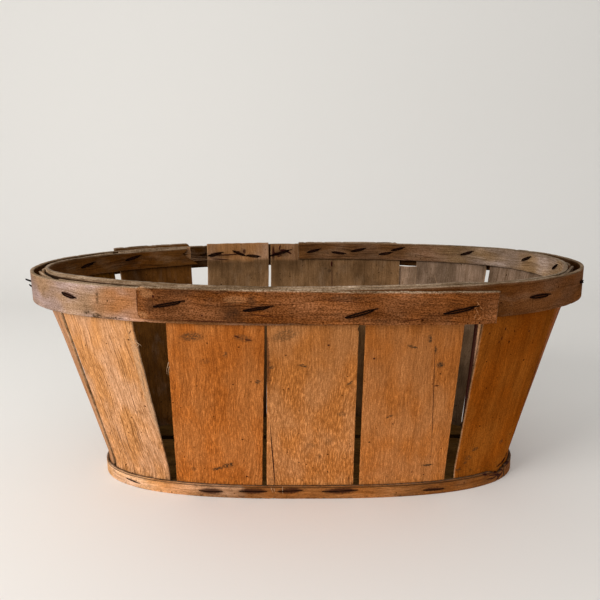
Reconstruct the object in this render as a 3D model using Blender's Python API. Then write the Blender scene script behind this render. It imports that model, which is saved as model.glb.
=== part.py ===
"""Oval harvest basket of veneer staves, clamped between two rim hoops and
stapled round a board floor, with a low band round the foot.

Units are metres. +Z is up, X is the long way of the basket and -Y its front.
The origin is on the ground, in the middle of the basket.
"""
import math

import bpy
import numpy as np

# Driving dimensions of the two ovals. Each oval is |x/a|^n + |y/b|^n = 1.
RIM_LENGTH = 0.496
RIM_WIDTH = 0.300
RIM_SHAPE = 2.22
FOOT_LENGTH = 0.398
FOOT_WIDTH = 0.162
FOOT_SHAPE = 2.64
FOOT_SHIFT = 0.0010
RIM_HEIGHT = 0.200

# Stock the pieces are cut from.
HOOP_THICKNESS = 0.0028
OUTER_HOOP_HEIGHT = 0.026
INNER_HOOP_THICKNESS = 0.0026
INNER_HOOP_HEIGHT = 0.0200
STAVE_THICKNESS = 0.0022
BAND_THICKNESS = 0.0024
BAND_HEIGHT = 0.0124
FLOOR_THICKNESS = 0.0100
STRIP_THICKNESS = 0.0026
STRIP_HEIGHT = 0.0243

# Clearances.
GAP = 0.0003
FLOOR_FIT = 0.0006
FLOOR_END_REACH = 2.0
FLOOR_SEAM = 0.0070
FLOOR_SEAM_AT = 0.0225
HOOP_JOINT = 0.0015

# How the flat staves sit in the curved rim. They touch the inner hoop in the
# middle. The outer hoop stands off them, little along the sides and most at the
# round ends, where a share of that room is left outside their edges too. Along
# the sides they bend upright below the hoops, and at the round ends they lean
# on through most of the rim.
END_BOW = 0.0078
SIDE_BOW = 0.0005
EDGE_SHARE = 0.50
END_LEAN = 0.85
BACK_STAVE_STANDOFF = 0.0055
STAVE_BEND = 0.0110
LARGEST_BEND_SHARE = 0.4

# Staves in order round the basket, counter-clockwise seen from above, from the
# middle one of the front. Widths and the gap to the next stave are in metres,
# first along the rim, then along the foot. The widths are stretched alike so
# that a full turn closes. The last column is how far a stave's top stands above
# the outer hoop.
FIRST_STAVE_AT_RIM = -0.0276
FIRST_STAVE_AT_FOOT = -0.0365
STAVES = (
    # name, rim width, rim gap, foot width, foot gap, top
    ("stave_front_3", 0.0661, 0.0046, 0.0765, 0.0051, -0.0004),
    ("stave_front_4", 0.0758, 0.0156, 0.0783, 0.0093, -0.0008),
    ("stave_front_5", 0.0826, 0.0036, 0.0714, 0.0024, 0.0002),
    ("stave_right_front", 0.0674, 0.0760, 0.0460, 0.0030, -0.0006),
    ("stave_right_back", 0.0655, 0.0043, 0.0460, 0.0030, 0.0003),
    ("stave_back_5", 0.0827, 0.0198, 0.0690, 0.0060, -0.0009),
    ("stave_back_4", 0.0777, 0.0026, 0.0700, 0.0030, -0.0003),
    ("stave_back_3", 0.0757, 0.0022, 0.0700, 0.0036, 0.0003),
    ("stave_back_2", 0.0741, 0.0191, 0.0690, 0.0070, 0.0020),
    ("stave_back_1", 0.0856, 0.0072, 0.0660, 0.0040, -0.0006),
    ("stave_left_back", 0.0690, 0.0730, 0.0450, 0.0030, 0.0004),
    ("stave_left_front", 0.0654, 0.0030, 0.0450, 0.0026, -0.0005),
    ("stave_front_1", 0.0768, 0.0281, 0.0649, 0.0064, 0.0006),
    ("stave_front_2", 0.0742, 0.0014, 0.0787, 0.0037, -0.0003),
)

# Staves that stand behind two others, at the tip of each round end. The reach
# says how far round the ends the pieces inside keep clear of them.
END_STAVE_SIDE_GAP = 0.0012
END_STAVE_TOP = -0.0006
END_STAVE_FOOT_WIDTH = 0.0580
END_LAYER_REACH = 1.1

# Splint that stiffens the fifth front stave from behind.
SPLINT_LEAD = 0.0045
SPLINT_FOOT_TUCK = 0.0040
SPLINT_RIM_WIDTH = 0.0420
SPLINT_FOOT_WIDTH = 0.0340
SPLINT_CLEAR = 0.0100
SPLINT_EASE = 0.0300
SPLINT_TOP = -0.0010

# Splint outside the two right back staves, which closes the gap between them.
BACK_SPLINT_RIM_LAP = 0.0080
BACK_SPLINT_FOOT_LAP = 0.0120

# Strips that cover the joints of the outer hoop. Each place is a distance along
# the rim from the middle of the front.
HOOP_JOINT_AT = 0.0120
FRONT_STRIP_FROM = -0.1215
FRONT_STRIP_TO = 0.1405
FRONT_STRIP_RISE = 0.0013
FRONT_STRIP_SAG = 0.0063
FRONT_STRIP_SPRING = 0.0016
FRONT_STRIP_SLANT = 0.0020
BACK_STRIP_HEIGHT = 0.0250
BACK_STRIP_RIGHT_FROM = 0.5360
BACK_STRIP_RIGHT_TO = 0.6548
BACK_STRIP_RIGHT_RISE = 0.0012
BACK_STRIP_LEFT_FROM = 0.7838
BACK_STRIP_LEFT_TO = 0.8700
BACK_STRIP_LEFT_RISE = 0.0030
STRIP_CORNER = 0.0045

# The inner hoop, broken away at the back. It waves up and down along the rim:
# each hump has its middle and half length along the rim, and its rise.
INNER_HOOP_END_AT = 0.6548
INNER_HOOP_BREAK_AT = 0.7850
INNER_HOOP_RISE = 0.0008
INNER_HOOP_HUMPS = ((-0.1900, 0.1900, 0.0028), (-0.4600, 0.1700, -0.0028), (0.6548, 0.1500, 0.0010))
# How far the torn end reaches at each height, from the lower edge up.
INNER_HOOP_TEAR = (-0.0080, 0.0010, 0.0075, 0.0020)

# The foot band, open at its butt joint.
BAND_JOINT_AT = 0.1900

# Mesh density.
HOOP_STEPS = 128
STAVE_STEPS = 8
STRIP_STEP = 0.0100
OUTLINE_SAMPLES = 2880

# Colour and roughness of each kind of wood, as seen on the worn basket.
WOODS = {
    "pale_stave": ((0.62, 0.34, 0.14), 0.62),
    "orange_stave": ((0.60, 0.25, 0.06), 0.60),
    "red_stave": ((0.45, 0.17, 0.04), 0.60),
    "grey_stave": ((0.30, 0.20, 0.12), 0.75),
    "tan_hoop": ((0.36, 0.22, 0.12), 0.68),
    "brown_hoop": ((0.20, 0.11, 0.055), 0.72),
    "red_strip": ((0.24, 0.10, 0.04), 0.70),
    "band": ((0.42, 0.24, 0.10), 0.66),
    "floor": ((0.22, 0.15, 0.09), 0.80),
}


class Outline:
    """A closed oval, read by the distance along it from the middle of the front."""

    def __init__(self, length, width, shape, shift=0.0):
        half_length = length / 2
        half_width = width / 2
        angle = np.linspace(-math.pi / 2, 1.5 * math.pi, OUTLINE_SAMPLES + 1)
        reach = np.abs(np.cos(angle) / half_length) ** shape
        reach = (reach + np.abs(np.sin(angle) / half_width) ** shape) ** (-1 / shape)
        self.x = reach * np.cos(angle)
        self.y = reach * np.sin(angle)
        normal_x = np.sign(self.x) * np.abs(self.x / half_length) ** (shape - 1) / half_length
        normal_y = np.sign(self.y) * np.abs(self.y / half_width) ** (shape - 1) / half_width
        size = np.hypot(normal_x, normal_y)
        self.normal_x = normal_x / size
        self.normal_y = normal_y / size
        self.x += shift
        steps = np.hypot(np.diff(self.x), np.diff(self.y))
        self.distance = np.concatenate([[0.0], np.cumsum(steps)])
        self.total = float(self.distance[-1])

    def normal(self, along):
        along = along % self.total
        x = float(np.interp(along, self.distance, self.normal_x))
        y = float(np.interp(along, self.distance, self.normal_y))
        size = math.hypot(x, y)
        return x / size, y / size

    def point(self, along, inset):
        """The point at a distance along the oval, moved inwards by inset."""
        normal_x, normal_y = self.normal(along)
        along = along % self.total
        x = float(np.interp(along, self.distance, self.x))
        y = float(np.interp(along, self.distance, self.y))
        return x - normal_x * inset, y - normal_y * inset


RIM = Outline(RIM_LENGTH, RIM_WIDTH, RIM_SHAPE)
FOOT = Outline(FOOT_LENGTH, FOOT_WIDTH, FOOT_SHAPE, FOOT_SHIFT)
LAYER = STAVE_THICKNESS + GAP
STAVE_RIM_INSET = HOOP_THICKNESS + GAP
STAVE_FOOT_INSET = BAND_THICKNESS + GAP


def bow(along):
    """How far a stave's middle stands off the outer hoop, by how much the rim turns to its end."""
    normal_x, _ = RIM.normal(along)
    return SIDE_BOW + END_BOW * normal_x * normal_x


def hump(along, middle, half_length, rise):
    """A smooth rise round one place of the rim."""
    away = abs((along - middle + RIM.total / 2) % RIM.total - RIM.total / 2)
    return rise * (1 + math.cos(math.pi * min(away / half_length, 1.0))) / 2


def smooth_step(value):
    value = min(max(value, 0.0), 1.0)
    return value * value * (3 - 2 * value)


def bends(along):
    """Where a stave starts and stops sloping, and how long each bend is."""
    normal_x, _ = RIM.normal(along)
    low = BAND_HEIGHT + GAP
    high = RIM_HEIGHT - GAP - OUTER_HOOP_HEIGHT * (1 - END_LEAN * normal_x * normal_x)
    return low, high, min(STAVE_BEND, LARGEST_BEND_SHARE * (high - low))


def rise_between_bends(along, height):
    """0 up the straight foot, 1 up the straight rim, and an eased slope between them."""
    low, high, bend = bends(along)
    span = high - low
    x = min(max(height - low, 0.0), span)
    if x < bend:
        travelled = x * x / (2 * bend)
    elif x > span - bend:
        left = span - x
        travelled = span - bend - left * left / (2 * bend)
    else:
        travelled = x - bend / 2
    return travelled / (span - bend)


def stave_heights(along, bottom, top):
    """Rows of a stave, close together in its two bends."""
    low, high, bend = bends(along)
    rows = [bottom, low, low + bend / 2, low + bend]
    rows += [low + bend + (high - low - 2 * bend) * quarter / 4 for quarter in (1, 2, 3)]
    rows += [high - bend, high - bend / 2, high, RIM_HEIGHT + top]
    return rows


def outer_splint_heights(along, bottom, top):
    """Rows of a splint that stands on the foot band and ends under the outer hoop."""
    return stave_heights(along, bottom, top)[1:-2] + [RIM_HEIGHT + top]


def wall_point(rim_along, foot_along, height, depth):
    """A point of the wall at a height, depth further in than the hoop and the foot band allow."""
    rise = rise_between_bends(rim_along, height)
    rim_x, rim_y = RIM.point(rim_along, STAVE_RIM_INSET + depth)
    foot_x, foot_y = FOOT.point(foot_along, STAVE_FOOT_INSET + depth)
    return foot_x + (rim_x - foot_x) * rise, foot_y + (rim_y - foot_y) * rise, height


def wood(name, kind):
    """A plain wood material of the piece's own."""
    colour, roughness = WOODS[kind]
    material = bpy.data.materials.new(name)
    material.use_nodes = True
    shader = material.node_tree.nodes["Principled BSDF"]
    shader.inputs["Base Color"].default_value = (*colour, 1.0)
    shader.inputs["Roughness"].default_value = roughness
    shader.inputs["Metallic"].default_value = 0.0
    return material


def add_piece(name, kind, vertices, faces):
    """Adds one closed solid to the scene."""
    mesh = bpy.data.meshes.new(name)
    mesh.from_pydata(vertices, [], faces)
    mesh.validate()
    mesh.materials.append(wood(name, kind))
    piece = bpy.data.objects.new(name, mesh)
    bpy.context.scene.collection.objects.link(piece)
    return piece


def add_sheet(name, kind, outer, inner):
    """Closes two like grids of points, rows by columns, into a thin solid.

    Columns run counter-clockwise seen from above and rows run up, so the
    outer grid's faces look outwards.
    """
    rows = len(outer)
    columns = len(outer[0])
    vertices = [point for grid in (outer, inner) for row in grid for point in row]

    def index(side, row, column):
        return (side * rows + row) * columns + column

    faces = []
    for row in range(rows - 1):
        for column in range(columns - 1):
            quad = ((row, column), (row, column + 1), (row + 1, column + 1), (row + 1, column))
            faces.append([index(0, *corner) for corner in quad])
            faces.append([index(1, *corner) for corner in reversed(quad)])
    around = [(0, column) for column in range(columns - 1)]
    around += [(row, columns - 1) for row in range(rows - 1)]
    around += [(rows - 1, column) for column in range(columns - 1, 0, -1)]
    around += [(row, 0) for row in range(rows - 1, 0, -1)]
    for here, there in zip(around, around[1:] + around[:1]):
        faces.append([index(0, *there), index(0, *here), index(1, *here), index(1, *there)])
    return add_piece(name, kind, vertices, faces)


def add_hoop(name, kind, outline, start, end, inset, thickness, bottom, height,
             rows=(0.0, 1.0), start_shape=None, end_shape=None, steps=None):
    """A flat strip bent round an oval.

    inset and bottom are functions of the share of the way along the strip and
    of the distance along the oval. rows are shares of the height, and the
    shapes say how far each row's start and end lie beyond the nominal ones.
    """
    start_shape = start_shape or [0.0] * len(rows)
    end_shape = end_shape or [0.0] * len(rows)
    steps = steps or max(4, round((end - start) / STRIP_STEP))
    outer = []
    inner = []
    for row, first, last in zip(rows, start_shape, end_shape):
        outer_row = []
        inner_row = []
        for step in range(steps + 1):
            share = step / steps
            along = start + first + (end + last - start - first) * share
            depth = inset(share, along)
            z = bottom(share, along) + row * height
            outer_row.append((*outline.point(along, depth), z))
            inner_row.append((*outline.point(along, depth + thickness), z))
        outer.append(outer_row)
        inner.append(inner_row)
    return add_sheet(name, kind, outer, inner)


def rounded_end(height, radius):
    """Rows and how far each is drawn back, for a strip end with rounded corners."""
    turns = [math.radians(angle) for angle in (0, 30, 60, 90)]
    rows = [radius * (1 - math.cos(turn)) / height for turn in turns]
    back = [radius * (1 - math.sin(turn)) for turn in turns]
    rows += [1 - row for row in reversed(rows)]
    back += list(reversed(back))
    return rows, back


def front_depth(rim_along, across, rise):
    """How far in a stave's outer face lies, from edge (across 0) to middle (across 1)."""
    return rise * bow(rim_along) * (EDGE_SHARE + (1 - EDGE_SHARE) * across)


def second_layer(across, rise):
    """How much further in a stave behind others lies, most halfway up."""
    return LAYER * (1 - across * rise) + BACK_STAVE_STANDOFF * 4 * rise * (1 - rise)


def behind_depth(rim_along, across, rise):
    """The same as front_depth for a stave behind others."""
    return front_depth(rim_along, across, rise) + second_layer(across, rise)


def splint_depth(rim_along, across, rise):
    """The same as front_depth for the splint, which lies along the back of its stave."""
    return LAYER + rise * bow(rim_along)


def outer_splint_depth(rim_along, across, rise):
    """The same as front_depth for the splint outside the back staves."""
    return -LAYER


def add_stave(name, kind, rim, foot, depth_of, bottom=0.0, top=0.0, heights_of=stave_heights):
    """A veneer stave lofted from its place at the foot to its place at the rim.

    rim and foot are each the distance along the oval of the stave's near edge,
    and its width there.
    """
    outer = []
    inner = []
    for step in range(STAVE_STEPS + 1):
        share = step / STAVE_STEPS
        across = 1 - (2 * share - 1) ** 2
        rim_along = rim[0] + rim[1] * share
        foot_along = foot[0] + foot[1] * share
        for grid, thickness in ((outer, 0.0), (inner, STAVE_THICKNESS)):
            column = []
            for height in heights_of(rim_along, bottom, top):
                depth = depth_of(rim_along, across, rise_between_bends(rim_along, height))
                column.append(wall_point(rim_along, foot_along, height, depth + thickness))
            grid.append(column)
    return add_sheet(name, kind, list(zip(*outer)), list(zip(*inner)))


def stave_places():
    """Each stave's near edge and width along the rim and along the foot, and its top."""
    rim_stretch = (RIM.total - sum(row[2] for row in STAVES)) / sum(row[1] for row in STAVES)
    foot_stretch = (FOOT.total - sum(row[4] for row in STAVES)) / sum(row[3] for row in STAVES)
    rim_along = FIRST_STAVE_AT_RIM
    foot_along = FIRST_STAVE_AT_FOOT
    places = {}
    for name, rim_width, rim_gap, foot_width, foot_gap, top in STAVES:
        rim_width *= rim_stretch
        foot_width *= foot_stretch
        places[name] = ((rim_along, rim_width), (foot_along, foot_width), top)
        rim_along += rim_width + rim_gap
        foot_along += foot_width + foot_gap
    return places


def stave_wood(name):
    kinds = {"stave_front_1": "pale_stave", "stave_front_2": "orange_stave",
             "stave_front_5": "red_stave"}
    return kinds.get(name, "pale_stave" if "front" in name else "grey_stave")


def build_staves(places):
    for name, (rim, foot, top) in places.items():
        add_stave(name, stave_wood(name), rim, foot, front_depth, top=top)


def build_end_staves(places):
    """The stave at the tip of each round end, behind its two neighbours."""
    for side, before, after in (("right", "stave_right_front", "stave_right_back"),
                                ("left", "stave_left_back", "stave_left_front")):
        rim_from = sum(places[before][0]) + END_STAVE_SIDE_GAP
        rim_to = places[after][0][0] - END_STAVE_SIDE_GAP
        foot_middle = (sum(places[before][1]) + places[after][1][0]) / 2
        foot = (foot_middle - END_STAVE_FOOT_WIDTH / 2, END_STAVE_FOOT_WIDTH)
        rim = (rim_from, rim_to - rim_from)
        add_stave(f"stave_{side}_middle", "grey_stave", rim, foot, behind_depth, top=END_STAVE_TOP)


def splint_place(places):
    rim, foot, _ = places["stave_front_5"]
    return (rim[0] - SPLINT_LEAD, SPLINT_RIM_WIDTH), (foot[0] + SPLINT_FOOT_TUCK, SPLINT_FOOT_WIDTH)


def build_splint(places):
    """A narrow splint behind the fifth front stave, standing on the floor's edge."""
    rim, foot = splint_place(places)
    add_stave("splint_front_5", "pale_stave", rim, foot, splint_depth,
              bottom=FLOOR_THICKNESS + GAP, top=SPLINT_TOP)


def build_back_splint(places):
    """A splint over the gap between the two right back staves, from foot band to outer hoop."""
    right_rim, right_foot, _ = places["stave_back_5"]
    left_rim, left_foot, _ = places["stave_back_4"]
    rim_from = sum(right_rim) - BACK_SPLINT_RIM_LAP
    foot_from = sum(right_foot) - BACK_SPLINT_FOOT_LAP
    rim = (rim_from, left_rim[0] + BACK_SPLINT_RIM_LAP - rim_from)
    foot = (foot_from, left_foot[0] + BACK_SPLINT_FOOT_LAP - foot_from)
    add_stave("splint_back", "grey_stave", rim, foot, outer_splint_depth,
              top=-(OUTER_HOOP_HEIGHT + GAP), heights_of=outer_splint_heights)


def build_outer_hoop():
    start = HOOP_JOINT_AT + HOOP_JOINT / 2
    end = HOOP_JOINT_AT - HOOP_JOINT / 2 + RIM.total
    add_hoop("outer_hoop", "tan_hoop", RIM, start, end, lambda share, along: 0.0, HOOP_THICKNESS,
             lambda share, along: RIM_HEIGHT - OUTER_HOOP_HEIGHT, OUTER_HOOP_HEIGHT, steps=HOOP_STEPS)


def build_inner_hoop(places):
    """The hoop inside the staves, from its sawn end round to the torn one.

    It follows the lean of the wall, and bulges over the splint and over the
    second layer of staves at the round ends.
    """
    splint_rim, _ = splint_place(places)
    edges = sorted((rim[0], foot[0]) for rim, foot, _ in places.values())
    edges = [(edges[-1][0] - RIM.total, edges[-1][1] - FOOT.total)] + edges
    edges += [(edges[1][0] + RIM.total, edges[1][1] + FOOT.total)]
    rim_edges, foot_edges = zip(*edges)
    start = INNER_HOOP_BREAK_AT - RIM.total
    outer = []
    inner = []
    for row, torn in enumerate(INNER_HOOP_TEAR):
        row_share = row / (len(INNER_HOOP_TEAR) - 1)
        outer_row = []
        inner_row = []
        for step in range(HOOP_STEPS + 1):
            along = start + torn + (INNER_HOOP_END_AT - start - torn) * step / HOOP_STEPS
            lift = INNER_HOOP_RISE + sum(hump(along, *shape) for shape in INNER_HOOP_HUMPS)
            height = RIM_HEIGHT + lift - INNER_HOOP_HEIGHT * (1 - row_share)
            beyond = max(splint_rim[0] - along, along - sum(splint_rim), 0.0)
            over_splint = smooth_step(1 - (beyond - SPLINT_CLEAR) / SPLINT_EASE)
            normal_x, _ = RIM.normal(along)
            over_ends = smooth_step(END_LAYER_REACH * normal_x * normal_x)
            rise = rise_between_bends(along, height)
            depth = LAYER + rise * bow(along) + LAYER * over_splint
            depth += over_ends * second_layer(1.0, rise)
            turned = (along - rim_edges[0]) % RIM.total + rim_edges[0]
            foot_along = float(np.interp(turned, rim_edges, foot_edges))
            outer_row.append(wall_point(along, foot_along, height, depth))
            inner_row.append(wall_point(along, foot_along, height, depth + INNER_HOOP_THICKNESS))
        outer.append(outer_row)
        inner.append(inner_row)
    add_sheet("inner_hoop", "brown_hoop", outer, inner)


def build_front_strip():
    """The strip over the front of the outer hoop, with its right end sagging and sprung off."""
    rows, back = rounded_end(STRIP_HEIGHT, STRIP_CORNER)
    slant = [FRONT_STRIP_SLANT * (row - 1) for row in rows]
    add_hoop("front_strip", "red_strip", RIM, FRONT_STRIP_FROM, FRONT_STRIP_TO,
             lambda share, along: -GAP - STRIP_THICKNESS - FRONT_STRIP_SPRING * share ** 3,
             STRIP_THICKNESS,
             lambda share, along: RIM_HEIGHT + FRONT_STRIP_RISE - FRONT_STRIP_SAG * share ** 2 - STRIP_HEIGHT,
             STRIP_HEIGHT, rows=rows, start_shape=back, end_shape=slant)


def build_back_strips():
    """Two short strips outside the back of the outer hoop, standing a little proud of it."""
    rows, back = rounded_end(BACK_STRIP_HEIGHT, STRIP_CORNER)
    for side, start, end, rise in (
            ("right", BACK_STRIP_RIGHT_FROM, BACK_STRIP_RIGHT_TO, BACK_STRIP_RIGHT_RISE),
            ("left", BACK_STRIP_LEFT_FROM, BACK_STRIP_LEFT_TO, BACK_STRIP_LEFT_RISE)):
        low = RIM_HEIGHT + rise - BACK_STRIP_HEIGHT
        add_hoop(f"back_strip_{side}", "brown_hoop", RIM, start, end,
                 lambda share, along: -GAP - STRIP_THICKNESS, STRIP_THICKNESS,
                 lambda share, along: low, BACK_STRIP_HEIGHT, rows=rows, start_shape=back)


def build_foot_band():
    start = BAND_JOINT_AT + HOOP_JOINT / 2
    end = BAND_JOINT_AT - HOOP_JOINT / 2 + FOOT.total
    add_hoop("foot_band", "band", FOOT, start, end, lambda share, along: 0.0, BAND_THICKNESS,
             lambda share, along: 0.0, BAND_HEIGHT, steps=HOOP_STEPS)


def floor_inset(along):
    """The floor stops short of the staves, and of the second layer of them at the round ends."""
    normal_x, _ = FOOT.normal(along)
    over_ends = smooth_step(FLOOR_END_REACH * normal_x * normal_x)
    return STAVE_FOOT_INSET + STAVE_THICKNESS + FLOOR_FIT + LAYER * over_ends


def clip(ring, edge, side):
    """The part of a closed ring of points that lies beyond y = edge on one side."""
    kept = []
    for here, there in zip(ring, ring[1:] + ring[:1]):
        inside_here = (here[1] - edge) * side > 0
        inside_there = (there[1] - edge) * side > 0
        if inside_here:
            kept.append(here)
        if inside_here != inside_there:
            share = (edge - here[1]) / (there[1] - here[1])
            kept.append((here[0] + (there[0] - here[0]) * share, edge))
    return kept


def build_floor():
    """Two boards of unlike width, with an open seam between them."""
    places = [FOOT.total * step / HOOP_STEPS for step in range(HOOP_STEPS)]
    outline = [FOOT.point(along, floor_inset(along)) for along in places]
    for name, side in (("floor_board_front", -1), ("floor_board_back", 1)):
        ring = clip(outline, FLOOR_SEAM_AT + side * FLOOR_SEAM / 2, side)
        count = len(ring)
        vertices = [(x, y, 0.0) for x, y in ring] + [(x, y, FLOOR_THICKNESS) for x, y in ring]
        faces = [list(reversed(range(count))), list(range(count, 2 * count))]
        for here in range(count):
            there = (here + 1) % count
            faces.append([here, there, there + count, here + count])
        add_piece(name, "floor", vertices, faces)


def main():
    for piece in list(bpy.data.objects):
        bpy.data.objects.remove(piece, do_unlink=True)
    places = stave_places()
    build_floor()
    build_staves(places)
    build_end_staves(places)
    build_splint(places)
    build_back_splint(places)
    build_foot_band()
    build_outer_hoop()
    build_inner_hoop(places)
    build_front_strip()
    build_back_strips()


main()
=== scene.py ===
"""Dresses the harvest basket: worn veneer staves, rim hoops, foot band, board floor and wire staples.

Units are metres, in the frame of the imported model: +Z up, +X the long way, -Y the front. A place on the
rim or the foot is given as the distance along its oval from the middle of the front.
"""
import math
from types import SimpleNamespace

import bpy
import numpy as np
from bpy.props import FloatProperty, FloatVectorProperty, IntProperty, PointerProperty
from mathutils import Matrix, Vector


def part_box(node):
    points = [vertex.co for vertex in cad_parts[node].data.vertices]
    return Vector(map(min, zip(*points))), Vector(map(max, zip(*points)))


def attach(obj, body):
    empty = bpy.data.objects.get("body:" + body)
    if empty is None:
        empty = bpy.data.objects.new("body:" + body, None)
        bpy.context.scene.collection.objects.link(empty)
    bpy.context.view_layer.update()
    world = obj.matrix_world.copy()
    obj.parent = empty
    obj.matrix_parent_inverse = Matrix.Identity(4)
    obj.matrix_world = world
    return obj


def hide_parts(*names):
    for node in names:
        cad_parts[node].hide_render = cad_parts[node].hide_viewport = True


bl_info = {
    "name": "Harvest Basket",
    "version": (1, 0, 0),
    "blender": (4, 5, 0),
    "location": "3D View > Sidebar > Basket",
    "description": "Builds an oval harvest basket of wooden veneer staves",
    "category": "Object",
}

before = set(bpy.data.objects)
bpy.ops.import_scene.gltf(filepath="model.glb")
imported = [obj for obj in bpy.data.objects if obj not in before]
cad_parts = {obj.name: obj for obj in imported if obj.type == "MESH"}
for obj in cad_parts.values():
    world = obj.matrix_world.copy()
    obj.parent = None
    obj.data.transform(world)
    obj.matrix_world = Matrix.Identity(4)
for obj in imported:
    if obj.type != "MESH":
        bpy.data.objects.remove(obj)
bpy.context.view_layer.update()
RIM_LOW, RIM_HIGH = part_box("outer_hoop")

# The two ovals, |x/a|^n + |y/b|^n = 1, and the stock that the pieces are cut from.
RIM_SHAPE = 2.22
FOOT_LENGTH = 0.398
FOOT_WIDTH = 0.162
FOOT_SHAPE = 2.64
FOOT_SHIFT = 0.0010
RIM_HEIGHT = 0.200
HOOP_THICKNESS = 0.0028
OUTER_HOOP_HEIGHT = 0.026
INNER_HOOP_THICKNESS = 0.0026
INNER_HOOP_HEIGHT = 0.0200
STAVE_THICKNESS = 0.0022
BAND_THICKNESS = 0.0024
BAND_HEIGHT = 0.0124
FLOOR_THICKNESS = 0.0100
STRIP_THICKNESS = 0.0026
STRIP_HEIGHT = 0.0243
GAP = 0.0003
FLOOR_FIT = 0.0006
FLOOR_END_REACH = 2.0
FLOOR_SEAM = 0.0070
FLOOR_SEAM_AT = 0.0225
HOOP_JOINT = 0.0015
END_BOW = 0.0078
SIDE_BOW = 0.0005
EDGE_SHARE = 0.50
END_LEAN = 0.85
BACK_STAVE_STANDOFF = 0.0055
STAVE_BEND = 0.0110
LARGEST_BEND_SHARE = 0.4
FIRST_STAVE_AT_RIM = -0.0276
FIRST_STAVE_AT_FOOT = -0.0365
STAVES = (
    # name, rim width, rim gap, foot width, foot gap, top
    ("stave_front_3", 0.0661, 0.0046, 0.0765, 0.0051, -0.0004),
    ("stave_front_4", 0.0758, 0.0156, 0.0783, 0.0093, -0.0008),
    ("stave_front_5", 0.0826, 0.0036, 0.0714, 0.0024, 0.0002),
    ("stave_right_front", 0.0674, 0.0760, 0.0460, 0.0030, -0.0006),
    ("stave_right_back", 0.0655, 0.0043, 0.0460, 0.0030, 0.0003),
    ("stave_back_5", 0.0827, 0.0198, 0.0690, 0.0060, -0.0009),
    ("stave_back_4", 0.0777, 0.0026, 0.0700, 0.0030, -0.0003),
    ("stave_back_3", 0.0757, 0.0022, 0.0700, 0.0036, 0.0003),
    ("stave_back_2", 0.0741, 0.0191, 0.0690, 0.0070, 0.0020),
    ("stave_back_1", 0.0856, 0.0072, 0.0660, 0.0040, -0.0006),
    ("stave_left_back", 0.0690, 0.0730, 0.0450, 0.0030, 0.0004),
    ("stave_left_front", 0.0654, 0.0030, 0.0450, 0.0026, -0.0005),
    ("stave_front_1", 0.0768, 0.0281, 0.0649, 0.0064, 0.0006),
    ("stave_front_2", 0.0742, 0.0014, 0.0787, 0.0037, -0.0003),
)
END_STAVE_SIDE_GAP = 0.0012
END_STAVE_TOP = -0.0006
END_STAVE_FOOT_WIDTH = 0.0580
END_LAYER_REACH = 1.1
SPLINT_LEAD = 0.0045
SPLINT_FOOT_TUCK = 0.0040
SPLINT_RIM_WIDTH = 0.0420
SPLINT_FOOT_WIDTH = 0.0340
SPLINT_CLEAR = 0.0100
SPLINT_EASE = 0.0300
SPLINT_TOP = -0.0010
BACK_SPLINT_RIM_LAP = 0.0080
BACK_SPLINT_FOOT_LAP = 0.0120
HOOP_JOINT_AT = 0.0120
FRONT_STRIP = (-0.1215, 0.1405)
FRONT_STRIP_RISE = 0.0013
FRONT_STRIP_SAG = 0.0063
FRONT_STRIP_SPRING = 0.0016
FRONT_STRIP_SLANT = 0.0020
BACK_STRIP_HEIGHT = 0.0250
BACK_STRIPS = {"right": (0.5360, 0.6548, 0.0012), "left": (0.7838, 0.8700, 0.0030)}
STRIP_CORNER = 0.0045
INNER_HOOP_END_AT = 0.6548
INNER_HOOP_BREAK_AT = 0.7850
INNER_HOOP_RISE = 0.0008
INNER_HOOP_HUMPS = ((-0.1900, 0.1900, 0.0028), (-0.4600, 0.1700, -0.0028), (0.6548, 0.1500, 0.0010))
INNER_HOOP_TEAR = (-0.0080, 0.0010, 0.0075, 0.0020)
BAND_JOINT_AT = 0.1900
PATH_POINTS = 1440
FLOOR_POINTS = 720

# Where the worn pieces differ a little from the plain solids, and how their wear lies.
FRONT_STAVE_LOWERING = 0.0010
FIFTH_STAVE_LOWERING = 0.0018
END_STAVE_LOWERING = 0.0012
SPLINT_LOWERING = 0.0014
BACK_STAVE_LAP = 0.0034
LEFT_STAVE_TRIM = 0.0028
# The dip of the inner hoop's upper edge: from, to, depth and the lengths over which it comes and goes.
INNER_HOOP_DIP = (0.1100, 0.3000, 0.0022, 0.04, 0.06)
# The jags of its torn end: size, number of lumps and seed.
INNER_HOOP_JAGS = ((0.0022, 9, 5), (0.0012, 23, 6))
BARED_FROM = 0.1800
BAND_CHIP_AT = 0.0090
BAND_CHIP_DEPTH = 0.0064
BAND_CHIP_REACH = 0.014
RAGGED_TOP = 0.0004
RAGGED_LUMP = 0.006
BLEACHED_TOP = 0.0030
BLEACHED_FADE = 0.0022
DIRTY_FOOT = 0.016
BAND_DIRT_AND_SHADE_FOOT = 0.004
HOOP_SHADE_FADE = 0.006
BARED_WAVE = 0.0016
BARED_LUMP = 0.008
BARED_FADE = 0.003
BARED_BEYOND_BREAK = 0.004
WARP_LUMP_ACROSS = 0.024
WARP_LUMP_ALONG = 0.05
EDGE_LUMP = 0.013
SMALL_EDGE_LUMP = 0.0034
CHIP_HALF = (0.0010, 0.0036)
CHIP_DEPTH = (0.0003, 0.0009)
EDGE_LIGHT = (0.85, 0.85)

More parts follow.
